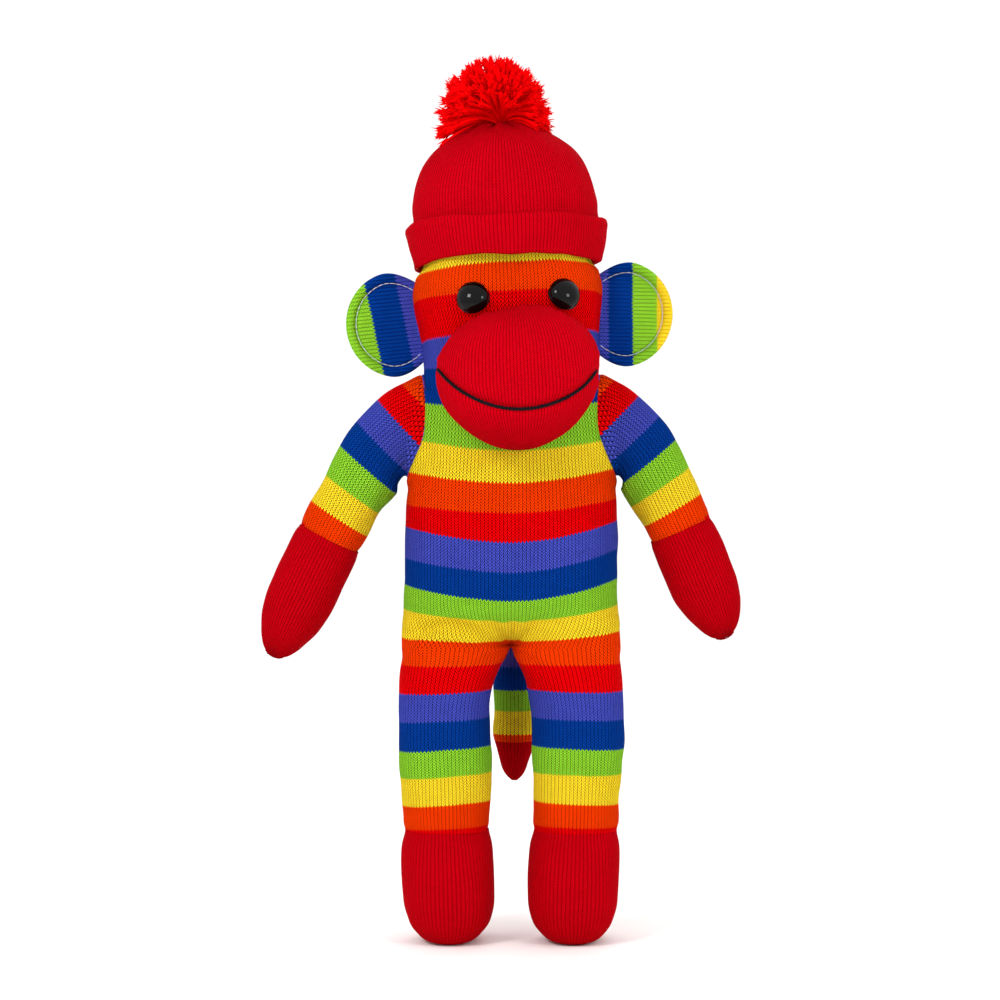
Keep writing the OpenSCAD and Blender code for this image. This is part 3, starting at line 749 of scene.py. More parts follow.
neck_low = head_piece("neck_lower_cover", down(NECK_MID, NECK_LOW, 0.8))
keep(neck_low, ["neck_sock"],
     blend=("torso", "neck", spot(0, 0, 190.5), spot(0, 0, 197.2)))
neck_high = head_piece("neck_upper_cover", down(NECK_TOP, NECK_MID, 0.8))
keep(neck_high, ["neck_stuffing"],
     blend=("neck", "head", spot(0, 0, 198), spot(0, 0, 212)))
head_cover = head_piece("head_cover", np.concatenate([down(275.6, 268, 0.4), down(268, NECK_TOP, 1.0)[1:]]))
keep(head_cover, ["head_sock", "head_stuffing"], ride="head")

t = np.linspace(0, 1, 150)
coil = np.stack([(2.8 - 2.0 * t) * np.cos(t * 26), (2.8 - 2.0 * t) * np.sin(t * 26),
                 275.2 + 1.2 * t + 0.25 * np.sin(t * 70)], axis=1)
crown_thread = mesh_piece("head_crown_gather", *tube(lean(coil), 0.32, 6), violet_thread)
keep(crown_thread, ["head_crown_thread"], ride="head")


# --- eyes ---------------------------------------------------------------------------------------
def frame_at(seat, out):
    side = np.cross([0, 0, 1.0], out)
    side /= np.linalg.norm(side)
    return np.stack([side, np.cross(out, side), out], axis=1)


def lathe(profile, seat, out, count=72):
    """Points and faces of a profile of (radius, height) turned about the outward direction."""
    axes = frame_at(seat, out)
    t = np.arange(count) * 2 * math.pi / count
    rings = np.array([[[r * math.cos(a), r * math.sin(a), h] for a in t] for r, h in profile])
    return seat + rings.reshape(-1, 3) @ axes.T, ring_faces(len(profile), count)


for side, name in ((1, "left"), (-1, "right")):
    seat, out = eye_place(side)
    rim = EYE_D / 2 + 0.3
    profile = [(1.6, -7), (1.6, -0.6), (rim - 0.9, -0.55), (rim - 0.25, -0.3), (rim, 0.15), (rim, 0.5),
               (rim - 0.18, 0.85), (rim - 0.42, 1.0)]
    dome = np.radians(np.linspace(0, 86, 20))
    profile += [((rim - 0.3) * math.cos(a), 1.05 + 3.6 * math.sin(a)) for a in dome]
    points, faces = lathe(profile, seat + out * 0.05, out)
    eye = mesh_piece(name + "_eye_button", lean(points), faces, eye_plastic)
    keep(eye, [name + "_eye"], ride="head")
    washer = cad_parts[name + "_eye_washer"]
    washer.data.materials.clear()
    washer.data.materials.append(washer_plastic)


# --- muzzle -------------------------------------------------------------------------------------
MUZZLE_X, MUZZLE_Z = 1.7, 191.2
MUZZLE_W, MUZZLE_H, MUZZLE_D, MUZZLE_RIM = 27.5, 24.0, 27.0, 28.4
MUZZLE_COLUMNS = 144
MOUTH_SHARE = 0.965     # how much of the muzzle's width the mouth takes


def muzzle_shape(q, t):
    """A point of the muzzle; q is 0 in the middle and 1 at the rim, t the angle about the middle."""
    c, s = np.cos(t), np.sin(t)
    x = q * MUZZLE_W * np.sign(c) * np.abs(c) ** (2 / 2.25)
    z = q * MUZZLE_H * np.sign(s) * np.abs(s) ** (2 / 2.25)
    z = z + 0.07 * x * smoothstep(z / 9) * q
    # Wider over the mouth, tapering to a rounded chin.
    x = x * (1 + 0.03 * np.tanh(z / 9) - 0.26 * np.clip(-z / MUZZLE_H, 0, 1) ** 2)
    out = MUZZLE_D * np.maximum(0, 1 - q**2.5) ** (1 / 2.3)
    return x, z, out


def mouth_line(t):
    """Height of the mouth over the muzzle's middle, t running from -1 to 1 across it."""
    return -11.8 + np.where(t < 0, 12.2 * t**2 + 2.6 * t**8, 11.2 * t**2 + 3.0 * t**8) - 1.2 * t


def round_grid(steps, columns):
    """Shares of the way from the middle to the rim, and angles round it, for a grid of points."""
    return np.meshgrid(steps, np.arange(columns) * 2 * math.pi / columns, indexing="ij")


steps = np.concatenate([np.linspace(0.012, 0.8, 46), 1 - 0.2 * np.linspace(1, 0, 34)[1:] ** 1.8])
qq, tt = round_grid(steps, MUZZLE_COLUMNS)
x, z, out = muzzle_shape(qq, tt)
grid = np.stack([MUZZLE_X + x, -MUZZLE_RIM - out, MUZZLE_Z + z], axis=-1)
n = normals(grid, True)
if n[0, 0, 1] > 0:
    n = -n
across = x / MUZZLE_W
groove = z - mouth_line(np.clip(across / MOUTH_SHARE, -1, 1))
inside = smoothstep((1.02 - np.abs(across)) / 0.06)
move = -1.3 * bell(groove, 1.5) * inside
move += 0.5 * bell(groove - 4.5, 3.5) * inside
move += 0.35 * bell(groove + 4, 3) * inside
move += 0.4 * noise(grid, 34, 8)
pucker = smoothstep((qq - 0.86) / 0.14)
move += 0.28 * pucker * np.sin(tt * 34 + 1.3 * np.sin(tt * 5)) * (1 - smoothstep((qq - 0.985) / 0.015))
muzzle_front = grid + n * move[..., None]
# A short skirt runs back from the rim into the head.
rim_x, rim_z, _ = muzzle_shape(np.ones(MUZZLE_COLUMNS), tt[0])
skirt = [np.stack([MUZZLE_X + rim_x * (1 - 0.05 * f), -MUZZLE_RIM + f * 8.0 + 0 * rim_x,
                   MUZZLE_Z + rim_z * (1 - 0.05 * f)], axis=-1) for f in np.linspace(0.12, 1, 9)]
grid = np.concatenate([muzzle_front, np.array(skirt)])
wide = (grid[..., 0] - MUZZLE_X) / MUZZLE_W
deep = np.maximum(0.02, (-grid[..., 1] - MUZZLE_RIM + 6) / (MUZZLE_D + 6))
longitude = np.arctan2(wide, deep)
latitude = np.arctan2((grid[..., 2] - MUZZLE_Z) / MUZZLE_H, np.hypot(wide, deep))
muzzle = grid_piece("muzzle_cover", lean(grid), longitude * 27.0 / 1.12, -latitude * 30.0 / COURSE,
                    muzzle_red_knit, wrap=True, cap=True)
keep(muzzle, ["muzzle_sock", "muzzle_stuffing"], ride="head")

line = []
for s in np.linspace(-1, 1, 120):
    x = s * MOUTH_SHARE * MUZZLE_W
    z = mouth_line(s)
    # The yarn lies on the covering just where it crosses it.
    gaps = np.hypot(muzzle_front[..., 0] - MUZZLE_X - x, muzzle_front[..., 2] - MUZZLE_Z - z).ravel()
    near = np.argsort(gaps)[:6]
    weight = 1 / (gaps[near] + 0.05) ** 2
    y = float((muzzle_front[..., 1].ravel()[near] * weight).sum() / weight.sum())
    line.append([MUZZLE_X + x, y - 0.2, MUZZLE_Z + z])
mouth = mesh_piece("mouth_yarn_line", *plied(lean(line), 0.6, 2.4), black_yarn)
keep(mouth, ["mouth_yarn"], ride="head")


# --- ears ---------------------------------------------------------------------------------------
EAR_W, EAR_H, EAR_MID, EAR_LEAN = 26.6, 36.6, 9.0, 4.0
STITCH_Q = 0.8          # where the topstitching runs, from the ear's middle to its rim


def ear_outline(q, t):
    w = EAR_W - EAR_MID
    cut = np.where(np.cos(t) < 0, np.minimum(1, EAR_MID / (w * np.maximum(-np.cos(t), 1e-6))), 1)
    x, z = EAR_MID + w * q * cut * np.cos(t), EAR_H / 2 * q * cut * np.sin(t)
    return x, z * (1 - 0.18 * (1 - np.clip(x / 13, 0, 1)) ** 1.6)


def ear_profile(q):
    """Half thickness: a puffed rim outside the topstitch, a hollow along it, a shallow pad inside."""
    rim = np.sqrt(np.clip(1 - ((q - 0.9) / 0.1) ** 2, 0, 1)) * 1.7
    pad = 1.45 + 0.35 * np.cos(np.clip(q / STITCH_Q, 0, 1) * math.pi)
    edge = np.maximum(rim, 0.75 * np.clip((1 - q) / 0.06, 0, 1))
    return np.where(q > STITCH_Q, edge, pad) - 0.9 * bell(q - STITCH_Q, 0.035)


def ear_world(points, side):
    """Ear frame (out from the seam, depth, up) to the toy's frame."""
    points = np.asarray(points, float) @ turn("Y", EAR_LEAN).T
    points = points + [float(head_half(EAR_Z)[0]) - 1.3, 0, EAR_Z]
    return lean(points * [side, 1, 1])


def ear_cup(x, z):
    """The pad's gentle hollow towards the front."""
    curl = 1.2 * (z / 18) ** 2 * smoothstep(x / 14)
    return -2.2 * smoothstep((x - 6) / 22) - curl + smoothstep(x / 6)


def ear_thin(x):
    """The ear is thinner where it is sewn to the head."""
    return 0.25 + 0.75 * smoothstep((x + 0.5) / 6)


# Colours run outwards from the seam: violet, blue, green and a rim of yellow.
EAR_STARTS = {1: [-6.0, 5.0, 13.2, 21.6, 31], -1: [-4.0, 6.8, 17.6, 27.6, 37]}
EAR_TILT = {1: 0.25, -1: -0.8}
qq, tt = round_grid(np.concatenate([np.linspace(0.01, 0.7, 26), np.linspace(0.7, 1, 32)[1:]]), 144)
for side, name in ((1, "left"), (-1, "right")):
    for back, face in ((0, "front"), (1, "back")):
        x, z = ear_outline(qq, tt)
        thick = ear_profile(qq) * ear_thin(x)
        # Puckers between the topstitches.
        thick += 0.85 * (1 - smoothstep((x - 2) / 3)) * bell(qq - STITCH_Q, 0.035)
        thick += 0.22 * np.sin(tt * 26) * bell(qq - 0.84, 0.06)
        y = ear_cup(x, z) + (1 if back else -1) * np.maximum(thick, 0.02)
        grid = np.stack([x, y, z], axis=-1)
        grid += 0.25 * noise(grid, 16, 20 + back + 2 * side)[..., None] * [0, 1, 0]
        starts = [s + back for s in EAR_STARTS[side]]
        s = np.interp(x + 0.12 * z * EAR_TILT[side], starts, [3, 4, 5, 6, 7])
        ear = grid_piece(f"{name}_ear_{face}_cover", ear_world(grid, side), z / 1.3, s * COURSES, ear_knit,
                         wrap=True, flip=(side > 0) == bool(back))
        hinge = ear_world([[0.2, 0, 0]], side)[0]
        far = ear_world([[5.5, 0, 0]], side)[0]
        keep(ear, [f"{name}_ear_{face}"],
             blend=("head", name + "_ear", spot(*hinge), spot(*far)))
    # Topstitching: short straight stitches with small gaps, sunk into the hollow.
    x, z = ear_outline(STITCH_Q, np.linspace(-2.6, 2.6, 500))
    line = np.stack([x, ear_cup(x, z) - 0.8 * ear_thin(x) - 0.35, z], axis=1)[x > EAR_MID * 0.2 + 0.3]
    line = np.concatenate([line[:1] - [1.0, 0, 0], line, line[-1:] - [1.0, 0, 0]])
    sunk = np.outer([0.45, 0.1, 0, 0, 0.1, 0.45], [0, 1, 0])
    dashes = [tube(ear_world(dash + sunk, side), 0.13, 6) for dash in stitches(line, 0.3, 1.9, 1.9, 6, 2.2)]
    stitch = mesh_piece(name + "_ear_topstitch", *join(dashes), white_thread)
    keep(stitch, [name + "_ear_stitch"], ride=name + "_ear")


# --- hat ----------------------------------------------------------------------------------------
HAT_COLUMNS = 192
HAT_WALES = 160.0
CROWN = [[0, 32.2, 240], [4, 32.4, 243.6], [8, 32.5, 247.6], [12, 32.4, 251.6], [18, 31.5, 257.6],
         [27, 28.6, 266.3], [35, 23.3, 273.4], [44.5, 14.8, 278.6], [52, 7.6, 281], [56, 3, 281.5],
        [58.4, 0.7, 281.3]]
LINING = [[0, 30.3, 240], [10, 30.3, 249.6], [18, 28.7, 257.6], [27, 25.4, 264.8], [36, 19.6, 271],
          [44, 12.6, 275.4], [50, 6, 277.6], [54, 1.2, 278.2]]
CUFF = [[0, 30.2, 240], [7, 30.3, 233.6], [7.9, 30.8, 232.7], [8.7, 31.6, 232.4], [9.6, 32.4, 232.8],
        [12, 33, 235.2], [16, 33.9, 239.2], [20, 34.5, 243.2], [22.6, 34.9, 245.6], [23.8, 34.7, 246.8],
        [24.8, 34, 247.3], [25.8, 33.1, 247.1], [26.6, 32.6, 246.3], [29, 32.3, 243.6]]


def turned(table, step):
    """Rings of a profile turned about the hat's axis; also the run along the profile."""
    at = np.linspace(0, table[-1][0], int(table[-1][0] / step) + 1)
    radius, height = curve(table, at).T[..., None]
    angle = -math.pi / 2 + np.arange(HAT_COLUMNS) * 2 * math.pi / HAT_COLUMNS
    z = np.repeat(height, HAT_COLUMNS, axis=1)
    return np.stack([radius * np.cos(angle), radius * np.sin(angle), z], axis=-1), at


def hat_wave(points):
    """The hat is soft: its rings are never quite round, and its edges ride up and down."""
    x, y, z = points[..., 0], points[..., 1], points[..., 2]
    angle = np.arctan2(y, x)
    low = 1 - smoothstep((z - 246) / 26)
    grow = 1 + 0.006 * np.sin(angle * 3 + 0.8) + 0.004 * np.sin(angle * 5 + 2.1)
    lift = low * (0.45 * np.sin(angle * 2 + 0.5) + 0.25 * np.sin(angle * 5))
    # The turned edge rides up over the brow.
    brow = (1 - smoothstep((z - 234) / 9)) * np.clip(-np.sin(angle), 0, 1) ** 1.5
    return np.stack([x * grow, y * grow, z + lift + 1.3 * brow], axis=-1)


grid, run = turned(CROWN, 0.8)
angle = np.arctan2(grid[..., 1], grid[..., 0])
radius = np.hypot(grid[..., 0], grid[..., 1])
n = normals(grid, True)
gather = smoothstep((20 - radius) / 15) * smoothstep(radius / 4)
folds = np.sin(angle * 11 + 0.8 * np.sin(angle * 2)) + 0.5 * np.sin(angle * 19 + 2)
move = 0.8 * gather * folds + 0.4 * noise(grid, 38, 11)
# A soft hollow where the crown drops behind the cuff.
move -= 0.5 * bell(grid[..., 2] - 249.5, 3)
grid = hat_wave(grid + n * move[..., None])
hat_crown = grid_piece("hat_crown_knit", lean(grid), HAT_WALES, -run, hat_red_knit, wrap=True, flip=True)
keep(hat_crown, ["hat_knit"], ride="hat")

grid, run = turned(LINING, 1.6)
inner = grid_piece("hat_crown_inside", lean(hat_wave(grid)), HAT_WALES, -run, hat_red_knit, wrap=True)
keep(inner, ride="hat")

grid, run = turned(CUFF, 0.5)
bulge = 0.35 * noise(grid, 30, 14)
grid = hat_wave(grid + normals(grid, True) * bulge[..., None])
cuff = grid_piece("hat_cuff_knit", lean(grid), HAT_WALES, run, hat_red_knit, wrap=True)
keep(cuff, ride="hat")

k = np.arange(60)
wide = 2.3 + 0.3 * np.sin(k * 0.7)
coil = np.stack([wide * np.cos(k * 0.35), wide * np.sin(k * 0.35), 281.2 + k * 0.012], axis=1)
gather = mesh_piece("hat_top_gather", *tube(lean(coil), 0.42, 6), red_thread)
keep(gather, ["hat_gather_thread"], ride="hat")


# --- pompom -------------------------------------------------------------------------------------
def pompom_strand(aim, length, width, droop, bend):
    """One yarn from the tie: it rises, leans out towards its aim and ends in loose filaments."""
    t = np.linspace(0, 1, 10)
    rise = aim * [0.5, 0.5, 0.7] + [0, 0, 0.3]
    rise /= np.linalg.norm(rise)
    share = smoothstep(t * 1.4)[:, None]
    heading = rise * (1 - share) + aim * share
    heading /= np.linalg.norm(heading, axis=1, keepdims=True)
    path = np.concatenate([np.zeros((1, 3)), np.cumsum((heading[1:] + heading[:-1]) / 2, axis=0)])
    path *= length / (len(t) - 1)
    side = np.cross(aim, [0, 0, 1.0])
    side /= max(np.linalg.norm(side), 1e-6)
    path += side[None] * (bend * t**2)[:, None] + np.array([0, 0, -droop]) * (t**2)[:, None]
    radii = width * np.array([0.5, 0.75, 0.9, 0.98, 1.0, 1.02, 1.04, 1.05, 1.0, 0.6])
    made = [tube(path, radii, 7)]
    end, way = path[-2], path[-1] - path[-3]
    way /= np.linalg.norm(way)
    for _ in range(8):
        spread = way + rng.normal(size=3) * 0.24
        spread /= np.linalg.norm(spread)
        long = rng.uniform(2.2, 4.4)
        root = end + rng.normal(size=3) * width * 0.45 - way * 0.6
        s = np.linspace(0, 1, 4)
        wisp = root + spread[None] * (s * long)[:, None] + rng.normal(size=3)[None] * 0.3 * (s**2)[:, None]
        made.append(tube(wisp, [0.34, 0.3, 0.24, 0.08], 3))
    return made


strands = []
TUFTS = 62
golden = math.pi * (3 - math.sqrt(5))
for k in range(TUFTS):
    # Directions over a dome: low at the toy's sides, steeper in front and behind.
    azimuth = golden * k
    lowest = -0.22 + 0.5 * abs(math.sin(azimuth)) ** 1.5
    rise = 1 - (k + 0.5) / TUFTS * (1 - lowest)
    flat = math.sqrt(max(0, 1 - rise * rise))
    centre = np.array([flat * math.cos(azimuth), flat * math.sin(azimuth), rise])
    for _ in range(9):
        aim = centre + rng.normal(size=3) * 0.1
        aim /= np.linalg.norm(aim)
        low = 1 - max(0, aim[2])
        length = (20.6 + 3.4 * max(0, aim[2]) - 2.6 * aim[0]) * rng.uniform(0.88, 1.02)
        strands += pompom_strand(aim, length, rng.uniform(0.5, 0.66), 0.6 + 3.6 * low**2, rng.normal() * 1.2)
points, faces = join(strands)
pompom = mesh_piece("pompom_strands", lean(points + [0, 0, 281.6]), faces, pompom_yarn)
flop = ("hat", "pompom", spot(0, 0, 281), spot(0, 0, 293))
keep(pompom, ["pompom"], blend=flop)

a = np.linspace(0, 12.4, 60)
ring = np.stack([1.7 * np.cos(a), 1.7 * np.sin(a), 282.2 + 0.25 * np.sin(3 * a)], axis=1)
tie = mesh_piece("pompom_tie_thread", *tube(lean(ring), 0.35, 6), red_thread)
keep(tie, ["pompom_tie"], blend=flop)


# --- arms ---------------------------------------------------------------------------------------
SHOULDER = np.array([33.4, 0, 177.6])
SHOULDER_LEAN = 9.4
ARMHOLE = 17.6, 13      # half height and half depth
HAND_SHARE = 0.52
BEND_TOP, BEND_END = 0.13, 0.47     # shares of the arm between which it bends
SLEEVE_WALES, HAND_WALES = 56.0, 60.0
ARM_COLUMNS = 96
ARM = {1: (85.0, 22.7), -1: (94.5, 25.5)}
ARM_ROWS = [[0, 17.6, 13, 0], [0.06, 16.8, 13, 0.2], [0.14, 14.5, 12.6, 0.5], [0.25, 12.2, 11.8, 0.85],
            [0.36, 11.3, 11.2, 1], [0.52, 11.4, 11, 1], [0.64, 11.8, 11.4, 1], [0.76, 11.7, 11.4, 1],
            [0.85, 10.3, 10.4, 1], [0.92, 7.9, 8.2, 1], [0.97, 4.9, 5, 1], [0.995, 2.3, 1.4, 1]]
# Colour changes up the arm from the hand seam: distance, and tilt of the rows from level.
ARM_BANDS = {-1: [[19.8, 0, 31.3], [19, 7.4, 32.5], [18, 16.8, 35.7], [17, 26.6, 40.9], [16, 35.2, 45],
                  [15, 45, 47], [14, 55.6, 44], [13, 66, 44]],
             1: [[19.8, 0, 28.5], [19, 7, 30], [18, 15.8, 34], [17, 25, 39], [16, 33.6, 43],
                 [15, 43, 45], [14, 53, 44], [13, 63, 44]]}


def outwards(degrees):
    return np.array([math.cos(math.radians(degrees)), 0, math.sin(math.radians(degrees))])


def downwards(degrees):
    return np.array([math.sin(math.radians(degrees)), 0, -math.cos(math.radians(degrees))])


SEAM_OUT, SEAM_UP = outwards(SHOULDER_LEAN), -downwards(SHOULDER_LEAN)


def arm_angle(s, splay):
    return splay + (65 - splay) * (1 - s) ** 6


def arm_walk(size, splay, steps=400):
    s = (np.arange(steps) + 0.5) / steps
    a = np.radians(arm_angle(s, splay))
    move = np.stack([np.sin(a), np.zeros(steps), -np.cos(a)], axis=1) * size / steps
    start = SHOULDER + SEAM_OUT * 0.9
    return np.concatenate([[start], start + np.cumsum(move, axis=0)])


def torso_side(y, z):
    """Half width of the torso's surface at that depth and height."""
    rows = curve(TORSO, np.clip(z, 100, 200))
    return rows[:, 0] * np.maximum(0, 1 - (np.abs(y - rows[:, 2]) / rows[:, 1]) ** SQUARE) ** (1 / SQUARE)


def arm_ring(centre, up, a, b):
    flat = arc(a, b, 0, 2 * math.pi, ARM_COLUMNS, 2.2)[:-1]
    return centre + up * flat[:, :1] + np.array([0, -1.0, 0]) * flat[:, 1:]


def arm_grid(shares, side):
    size, splay = ARM[side]
    walk = arm_walk(size, splay)
    rows = []
    pad = [0.5 * math.exp(-((s - 0.34) / 0.16) ** 2) for s in shares]
    for s, (a, b, mix), more in zip(shares, curve(ARM_ROWS, shares), pad):
        k = s * (len(walk) - 1)
        j = min(len(walk) - 2, int(k))
        centre = walk[j] + (walk[j + 1] - walk[j]) * (k - j)
        up = SEAM_UP * (1 - mix) + outwards(arm_angle(s, splay)) * mix
        up /= np.linalg.norm(up)
        rows.append(arm_ring(centre - up * more * 1.2, up, a + more, b + more))
    return np.array(rows)


def arm_stripe(points, side):
    """Place down the stripes from planes across the arm, each given by its distance and tilt."""
    walk = arm_walk(*ARM[side])
    centre = walk[int(HAND_SHARE * (len(walk) - 1))]
    planes = []
    last = 0.0
    for value, distance, tilt in ARM_BANDS[side]:
        heading = downwards(tilt)
        centre = centre - heading * (distance - last)
        last = distance
        planes.append((value, (points - centre) @ heading))
    result = np.full(points.shape[:-1], 20.0)
    for (upper, far), (lower, near) in zip(planes[:-1], planes[1:]):
        inside = (near >= 0) & (far < 0)
        result = np.where(inside, lower + (upper - lower) * near / np.maximum(near - far, 1e-6), result)
    top_value, top = planes[-1]
    return np.where(top < 0, top_value + top / 10.0, result)


def clear_between(low, high):
    """Points on two parallel planes that just clear the rings at each end of a bending piece."""
    best = (-1e9, 0, 0, None)
    for degrees in range(0, 360, 2):
        heading = outwards(degrees)
        first, last = (low @ heading).max(), (high @ heading).min()
        if last - first > best[0]:
            best = (last - first, first, last, heading)
    gap, first, last, heading = best
    middle = (low.mean(axis=0) + high.mean(axis=0)) / 2
    base = middle - heading * (middle @ heading)
    inset = 0.03 * gap
    return spot(*(base + heading * (first + inset))), spot(*(base + heading * (last - inset)))


for side, name in ((1, "left"), (-1, "right")):
    splay = ARM[side][1]
    shares = np.concatenate([np.linspace(0, BEND_TOP, 18), np.linspace(BEND_TOP, HAND_SHARE, 42)[1:]])
    rows = arm_grid(shares, side)
    root = arm_ring(SHOULDER, SEAM_UP, *ARMHOLE)
    root[:, 0] = np.minimum(root[:, 0], torso_side(root[:, 1], root[:, 2]) + 0.1)
    # The sleeve's edge is tucked under the torso's fabric and comes out at the seam.
    under = root * [1, 0.97, 1] - [1.2, 0, 0]
    strip = [under + (root - under) * f for f in (0, 0.5)]
    strip += [root + (rows[0] - root) * f for f in (0, 0.3, 0.65)]
    rows = np.concatenate([np.array(strip), rows])
    v = arm_stripe(rows, side) * COURSES
    n = normals(rows, True)
    out = (rows - SHOULDER) @ SEAM_OUT
    t = np.linspace(0, 2 * math.pi, ARM_COLUMNS, endpoint=False)[None]
    move = 0.35 * noise(rows, 26, 30 + side)
    # Little puckers where the sleeve is gathered into the armhole, and folds in the armpit.
    move += 0.32 * np.sin(t * 22 + 1.5 * np.sin(t * 3)) * bell(out - 2.2, 2.6)
    pit = bell(np.abs(t - math.pi), 0.8)
    move -= 0.9 * pit * bell(out - 6.5, 2.2)
    move -= 0.5 * pit * bell(out - 12, 2.2)
    shares = np.concatenate([np.zeros(len(strip)), shares])
    move -= 0.45 * bell(shares - HAND_SHARE, 0.018)[:, None]
    outward = np.sign(np.mean(np.sum(n[20] * (rows[20] - rows[20].mean(axis=0)), axis=-1)))
    rows = rows + outward * n * move[..., None]
    cut_a = int(np.argmin(np.abs(shares - BEND_TOP)))
    cut_b = int(np.argmin(np.abs(shares - BEND_END)))
    rows *= [side, 1, 1]

    def sleeve_piece(kind, first, last=None):
        return grid_piece(f"{name}_{kind}_cover", rows[first:last], SLEEVE_WALES, v[first:last], sock,
                          wrap=True, flip=side > 0)

    keep(sleeve_piece("shoulder", 0, cut_a + 1),
         blend=("torso", name + "_shoulder", *clear_between(rows[len(strip)], rows[cut_a])))
    keep(sleeve_piece("upper_sleeve", cut_a, cut_b + 1), [name + "_arm_stuffing"],
         blend=(name + "_shoulder", name + "_arm", *clear_between(rows[cut_a], rows[cut_b])))
    sleeve = sleeve_piece("sleeve", cut_b)
    keep(sleeve, [name + "_sleeve_sock"], ride=name + "_arm")

    shares = np.concatenate([np.linspace(HAND_SHARE, 0.9, 40), np.linspace(0.9, 0.995, 20)[1:]])
    rows = arm_grid(shares, side)
    tip = rows[-1].mean(axis=0)
    heading = downwards(splay)
    line = rows[-1].copy()
    line[:, 1] = tip[1] + (line[:, 1] - tip[1]) * 0.12
    shut = tip + (line - tip) * [1, 0.2, 1] + heading * 0.3
    rows = np.concatenate([rows, (line + heading * 0.5)[None], shut[None]])
    n = normals(rows, True)
    move = 0.3 * noise(rows, 24, 40 + side)
    shares = np.concatenate([shares, [1, 1]])
    move -= 0.45 * bell(shares - HAND_SHARE, 0.018)[:, None]
    close = smoothstep((shares - 0.9) / 0.08)[:, None]
    move += 0.22 * close * np.sin(t * 24) * (1 - smoothstep((shares - 0.985) / 0.015))[:, None]
    rows = rows + outward * n * move[..., None]
    hand = grid_piece(name + "_hand_cover", rows * [side, 1, 1], HAND_WALES, run_of(rows) / COURSE,
                      crimson_knit, wrap=True, flip=side > 0, lid=True)
    keep(hand, [name + "_hand_sock"], ride=name + "_arm")

    # The toe seam across the tip: a ridge of overcast thread.
    up = outwards(splay)
    ridge = [tip + up * a * 3.3 + heading * (0.55 - 1.1 * a * a) for a in np.linspace(-1, 1, 40)]
    ridge = plied(np.array(ridge) * [side, 1, 1], 0.26, 1.2)
    seam = mesh_piece(name + "_hand_toe_seam", *ridge, crimson_thread)
    keep(seam, [name + "_hand_seam"], ride=name + "_arm")

    # Sewing thread round the armhole, stitch by stitch.
    centre = root.mean(axis=0)
    rim = centre + (root - centre) * [1, 1.01, 1.01] + [0.1, 0, 0]
    rim = np.concatenate([rim, rim[:1]])
    raised = np.outer([0.1, 0.3, 0.35, 0.3, 0.1], SEAM_OUT)
    made = [tube((dash + raised) * [side, 1, 1], 0.2, 5) for dash in stitches(rim, 0.0, 1.4, 1.5, 5, 1.9)]
    hole = mesh_piece(name + "_armhole_stitches", *join(made), violet_thread)
    keep(hole, [name + "_shoulder_seam"], ride="torso")


# --- tail ---------------------------------------------------------------------------------------
TAIL_X, TAIL_TOP, TAIL_LONG, TAIL_R = 1.3, 113.0, 62.0, 7.4
TAIL_COLUMNS, TAIL_WALES = 60, 34.0
TAIL = [[-0.1, 0.12, 0.4], [-0.085, 0.34, 0.9], [-0.05, 0.56, 1.9], [0, 0.68, 3.8], [0.06, 0.82, 6.2],
        [0.16, 0.93, 8.3], [0.35, 0.97, 8.6], [0.55, 1, 8.9], [0.7, 1, 9], [0.82, 0.88, 9],
        [0.91, 0.62, 9], [0.97, 0.34, 9], [1, 0.12, 9]]
TAIL_SEAM = 0.77
TAIL_BANDS = [[-0.1, 25], [0.2, 27], [0.35, 28], [0.48, 29], [0.6, 30], [0.735, 31], [TAIL_SEAM, 31.4],
              [1, 36]]


def tail_grid(shares):
    rows = []
    for s, (r, y) in zip(shares, curve(TAIL, shares)):
        flat = arc(r * TAIL_R, r * TAIL_R, -math.pi / 2, 1.5 * math.pi, TAIL_COLUMNS, 2.15)[:-1]
        rows.append(np.column_stack([flat[:, 0] + TAIL_X, flat[:, 1] + 23.3 + y,
                                     np.full(TAIL_COLUMNS, TAIL_TOP - s * TAIL_LONG)]))
    rows = np.array(rows)
    return rows + normals(rows, True) * (0.3 * noise(rows, 18, 50))[..., None]


def tail_piece(name, shares, material):
    s = np.interp(shares, *zip(*TAIL_BANDS))
    return grid_piece(name, tail_grid(shares), TAIL_WALES, s * COURSES, material, wrap=True,
                      lid=shares[-1] > 0.99)


tail_root = tail_piece("tail_root_cover", np.linspace(-0.1, 0.16, 22), sock)
keep(tail_root,
     blend=("tail_root", "tail", spot(TAIL_X, 29, TAIL_TOP), spot(TAIL_X, 32, TAIL_TOP - 8)))
tail_cover = tail_piece("tail_cover", np.linspace(0.16, TAIL_SEAM, 40), sock)
keep(tail_cover, ["tail_sock", "tail_stuffing"], ride="tail")
shares = np.concatenate([np.linspace(TAIL_SEAM, 0.92, 12), np.linspace(0.92, 1, 12)[1:]])
tail_tip = tail_piece("tail_tip_cover", shares, crimson_knit)
keep(tail_tip, ["tail_tip_sock"], ride="tail")
ridge = [[TAIL_X + a * 1.6, 32.3, TAIL_TOP - TAIL_LONG + 0.1 + 1.2 * a * a] for a in np.linspace(-1, 1, 30)]
seam = mesh_piece("tail_tip_toe_seam", *plied(ridge, 0.26, 1.2), crimson_thread)
keep(seam, ["tail_tip_seam"], ride="tail")
loops = []
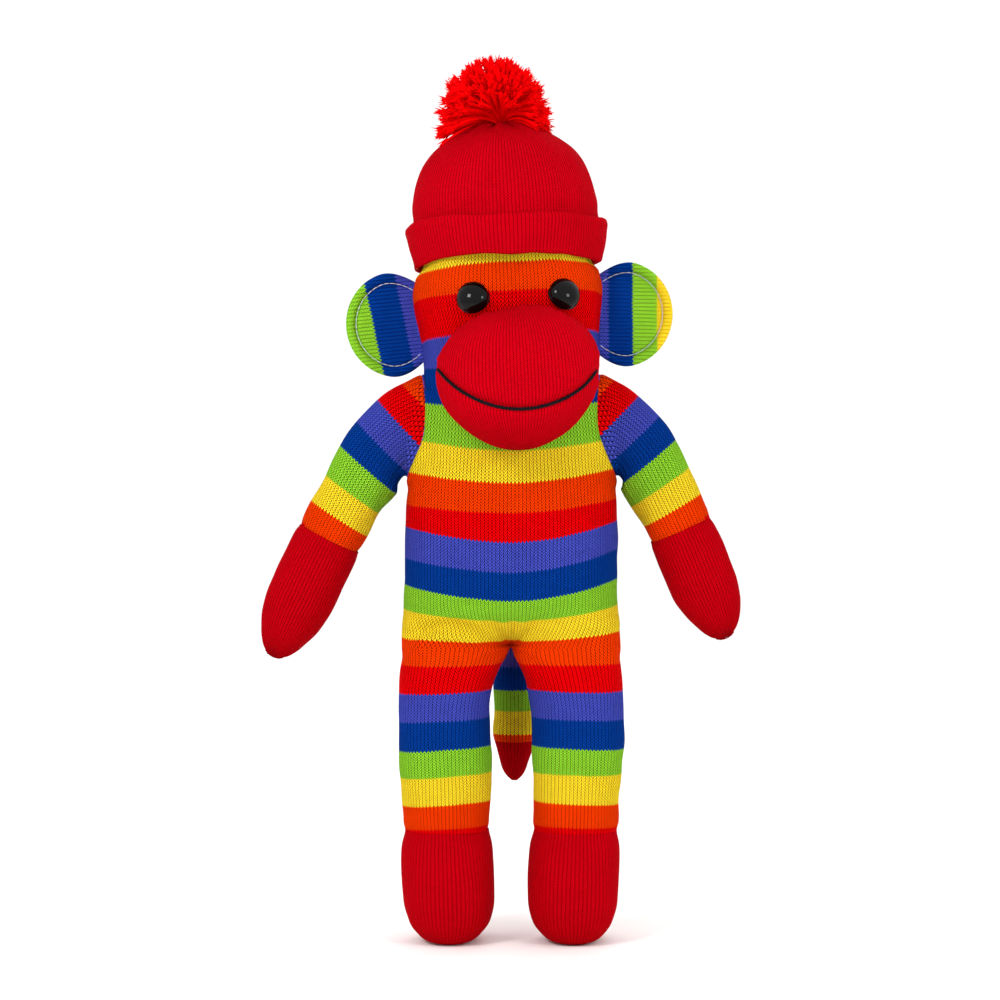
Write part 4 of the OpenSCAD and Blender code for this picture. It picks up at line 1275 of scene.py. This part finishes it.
for k in range(14):
    a = 2 * math.pi * k / 14
    c, s = math.cos(a), math.sin(a)
    base = np.array([TAIL_X + 3.6 * c, 23.5, TAIL_TOP + 3.6 * s])
    loops.append(tube([base + [0, -0.4, 0], base + [0.5 * c, 0.9, 0.5 * s], base + [-0.9 * c, 1.5, -0.9 * s],
                       base + [-1.6 * c, 0.8, -1.6 * s]], 0.3, 6))
root_seam = mesh_piece("tail_root_stitches", *join(loops), violet_thread)
keep(root_seam, ["tail_root_seam"], ride="tail_root")


# --- stage --------------------------------------------------------------------------------------
scene = bpy.context.scene
floor_mesh = bpy.data.meshes.new("floor")
floor_mesh.from_pydata([(-4, -4, 0), (4, -4, 0), (4, 4, 0), (-4, 4, 0)], [], [(0, 1, 2, 3)])
g = Graph("floor_paper")
grain = g.noise(g.add("TexCoord").outputs["Object"], 60.0, 3.0)
paper = g.scaled(g.plain((0.97, 0.955, 0.95, 1)), g.math("MULTIPLY_ADD", grain, 0.02, 0.99))
floor_mesh.materials.append(g.finish(paper, 0.7, 0.1))
floor = bpy.data.objects.new("floor", floor_mesh)
floor.location.z = -0.0002
scene.collection.objects.link(floor)

world = bpy.data.worlds.new("studio")
world.use_nodes = True
sky = world.node_tree.nodes["Background"]
sky.inputs[0].default_value = (1, 1, 1, 1)
sky.inputs[1].default_value = 1.08
scene.world = world


def aimed(name, data, place_at, aim):
    """A lamp or camera at one point, looking at another."""
    thing = bpy.data.objects.new(name, data)
    thing.location = place_at
    thing.rotation_euler = (Vector(aim) - thing.location).to_track_quat("-Z", "Y").to_euler()
    scene.collection.objects.link(thing)
    return thing


def softbox(name, place_at, size, power):
    light = bpy.data.lights.new(name, "AREA")
    light.shape = "RECTANGLE"
    light.size, light.size_y, light.energy = size, size, power
    aimed(name, light, place_at, (0, 0, 0.17))


softbox("key_light", (-0.55, -0.75, 0.75), 0.26, 4.6)
softbox("fill_light", (0.7, -0.7, 0.5), 0.24, 2.2)
softbox("back_light", (0.2, 0.9, 0.8), 0.4, 1.5)

camera_data = bpy.data.cameras.new("camera")
camera_data.sensor_width = 36
camera_data.lens = 125.2
camera_data.clip_start, camera_data.clip_end = 0.05, 20
scene.camera = aimed("camera", camera_data, (-0.0002, -1.192, 0.2), (-0.0002, 0.008, 0.152))
scene.view_settings.view_transform = "Standard"
scene.view_settings.look = "None"
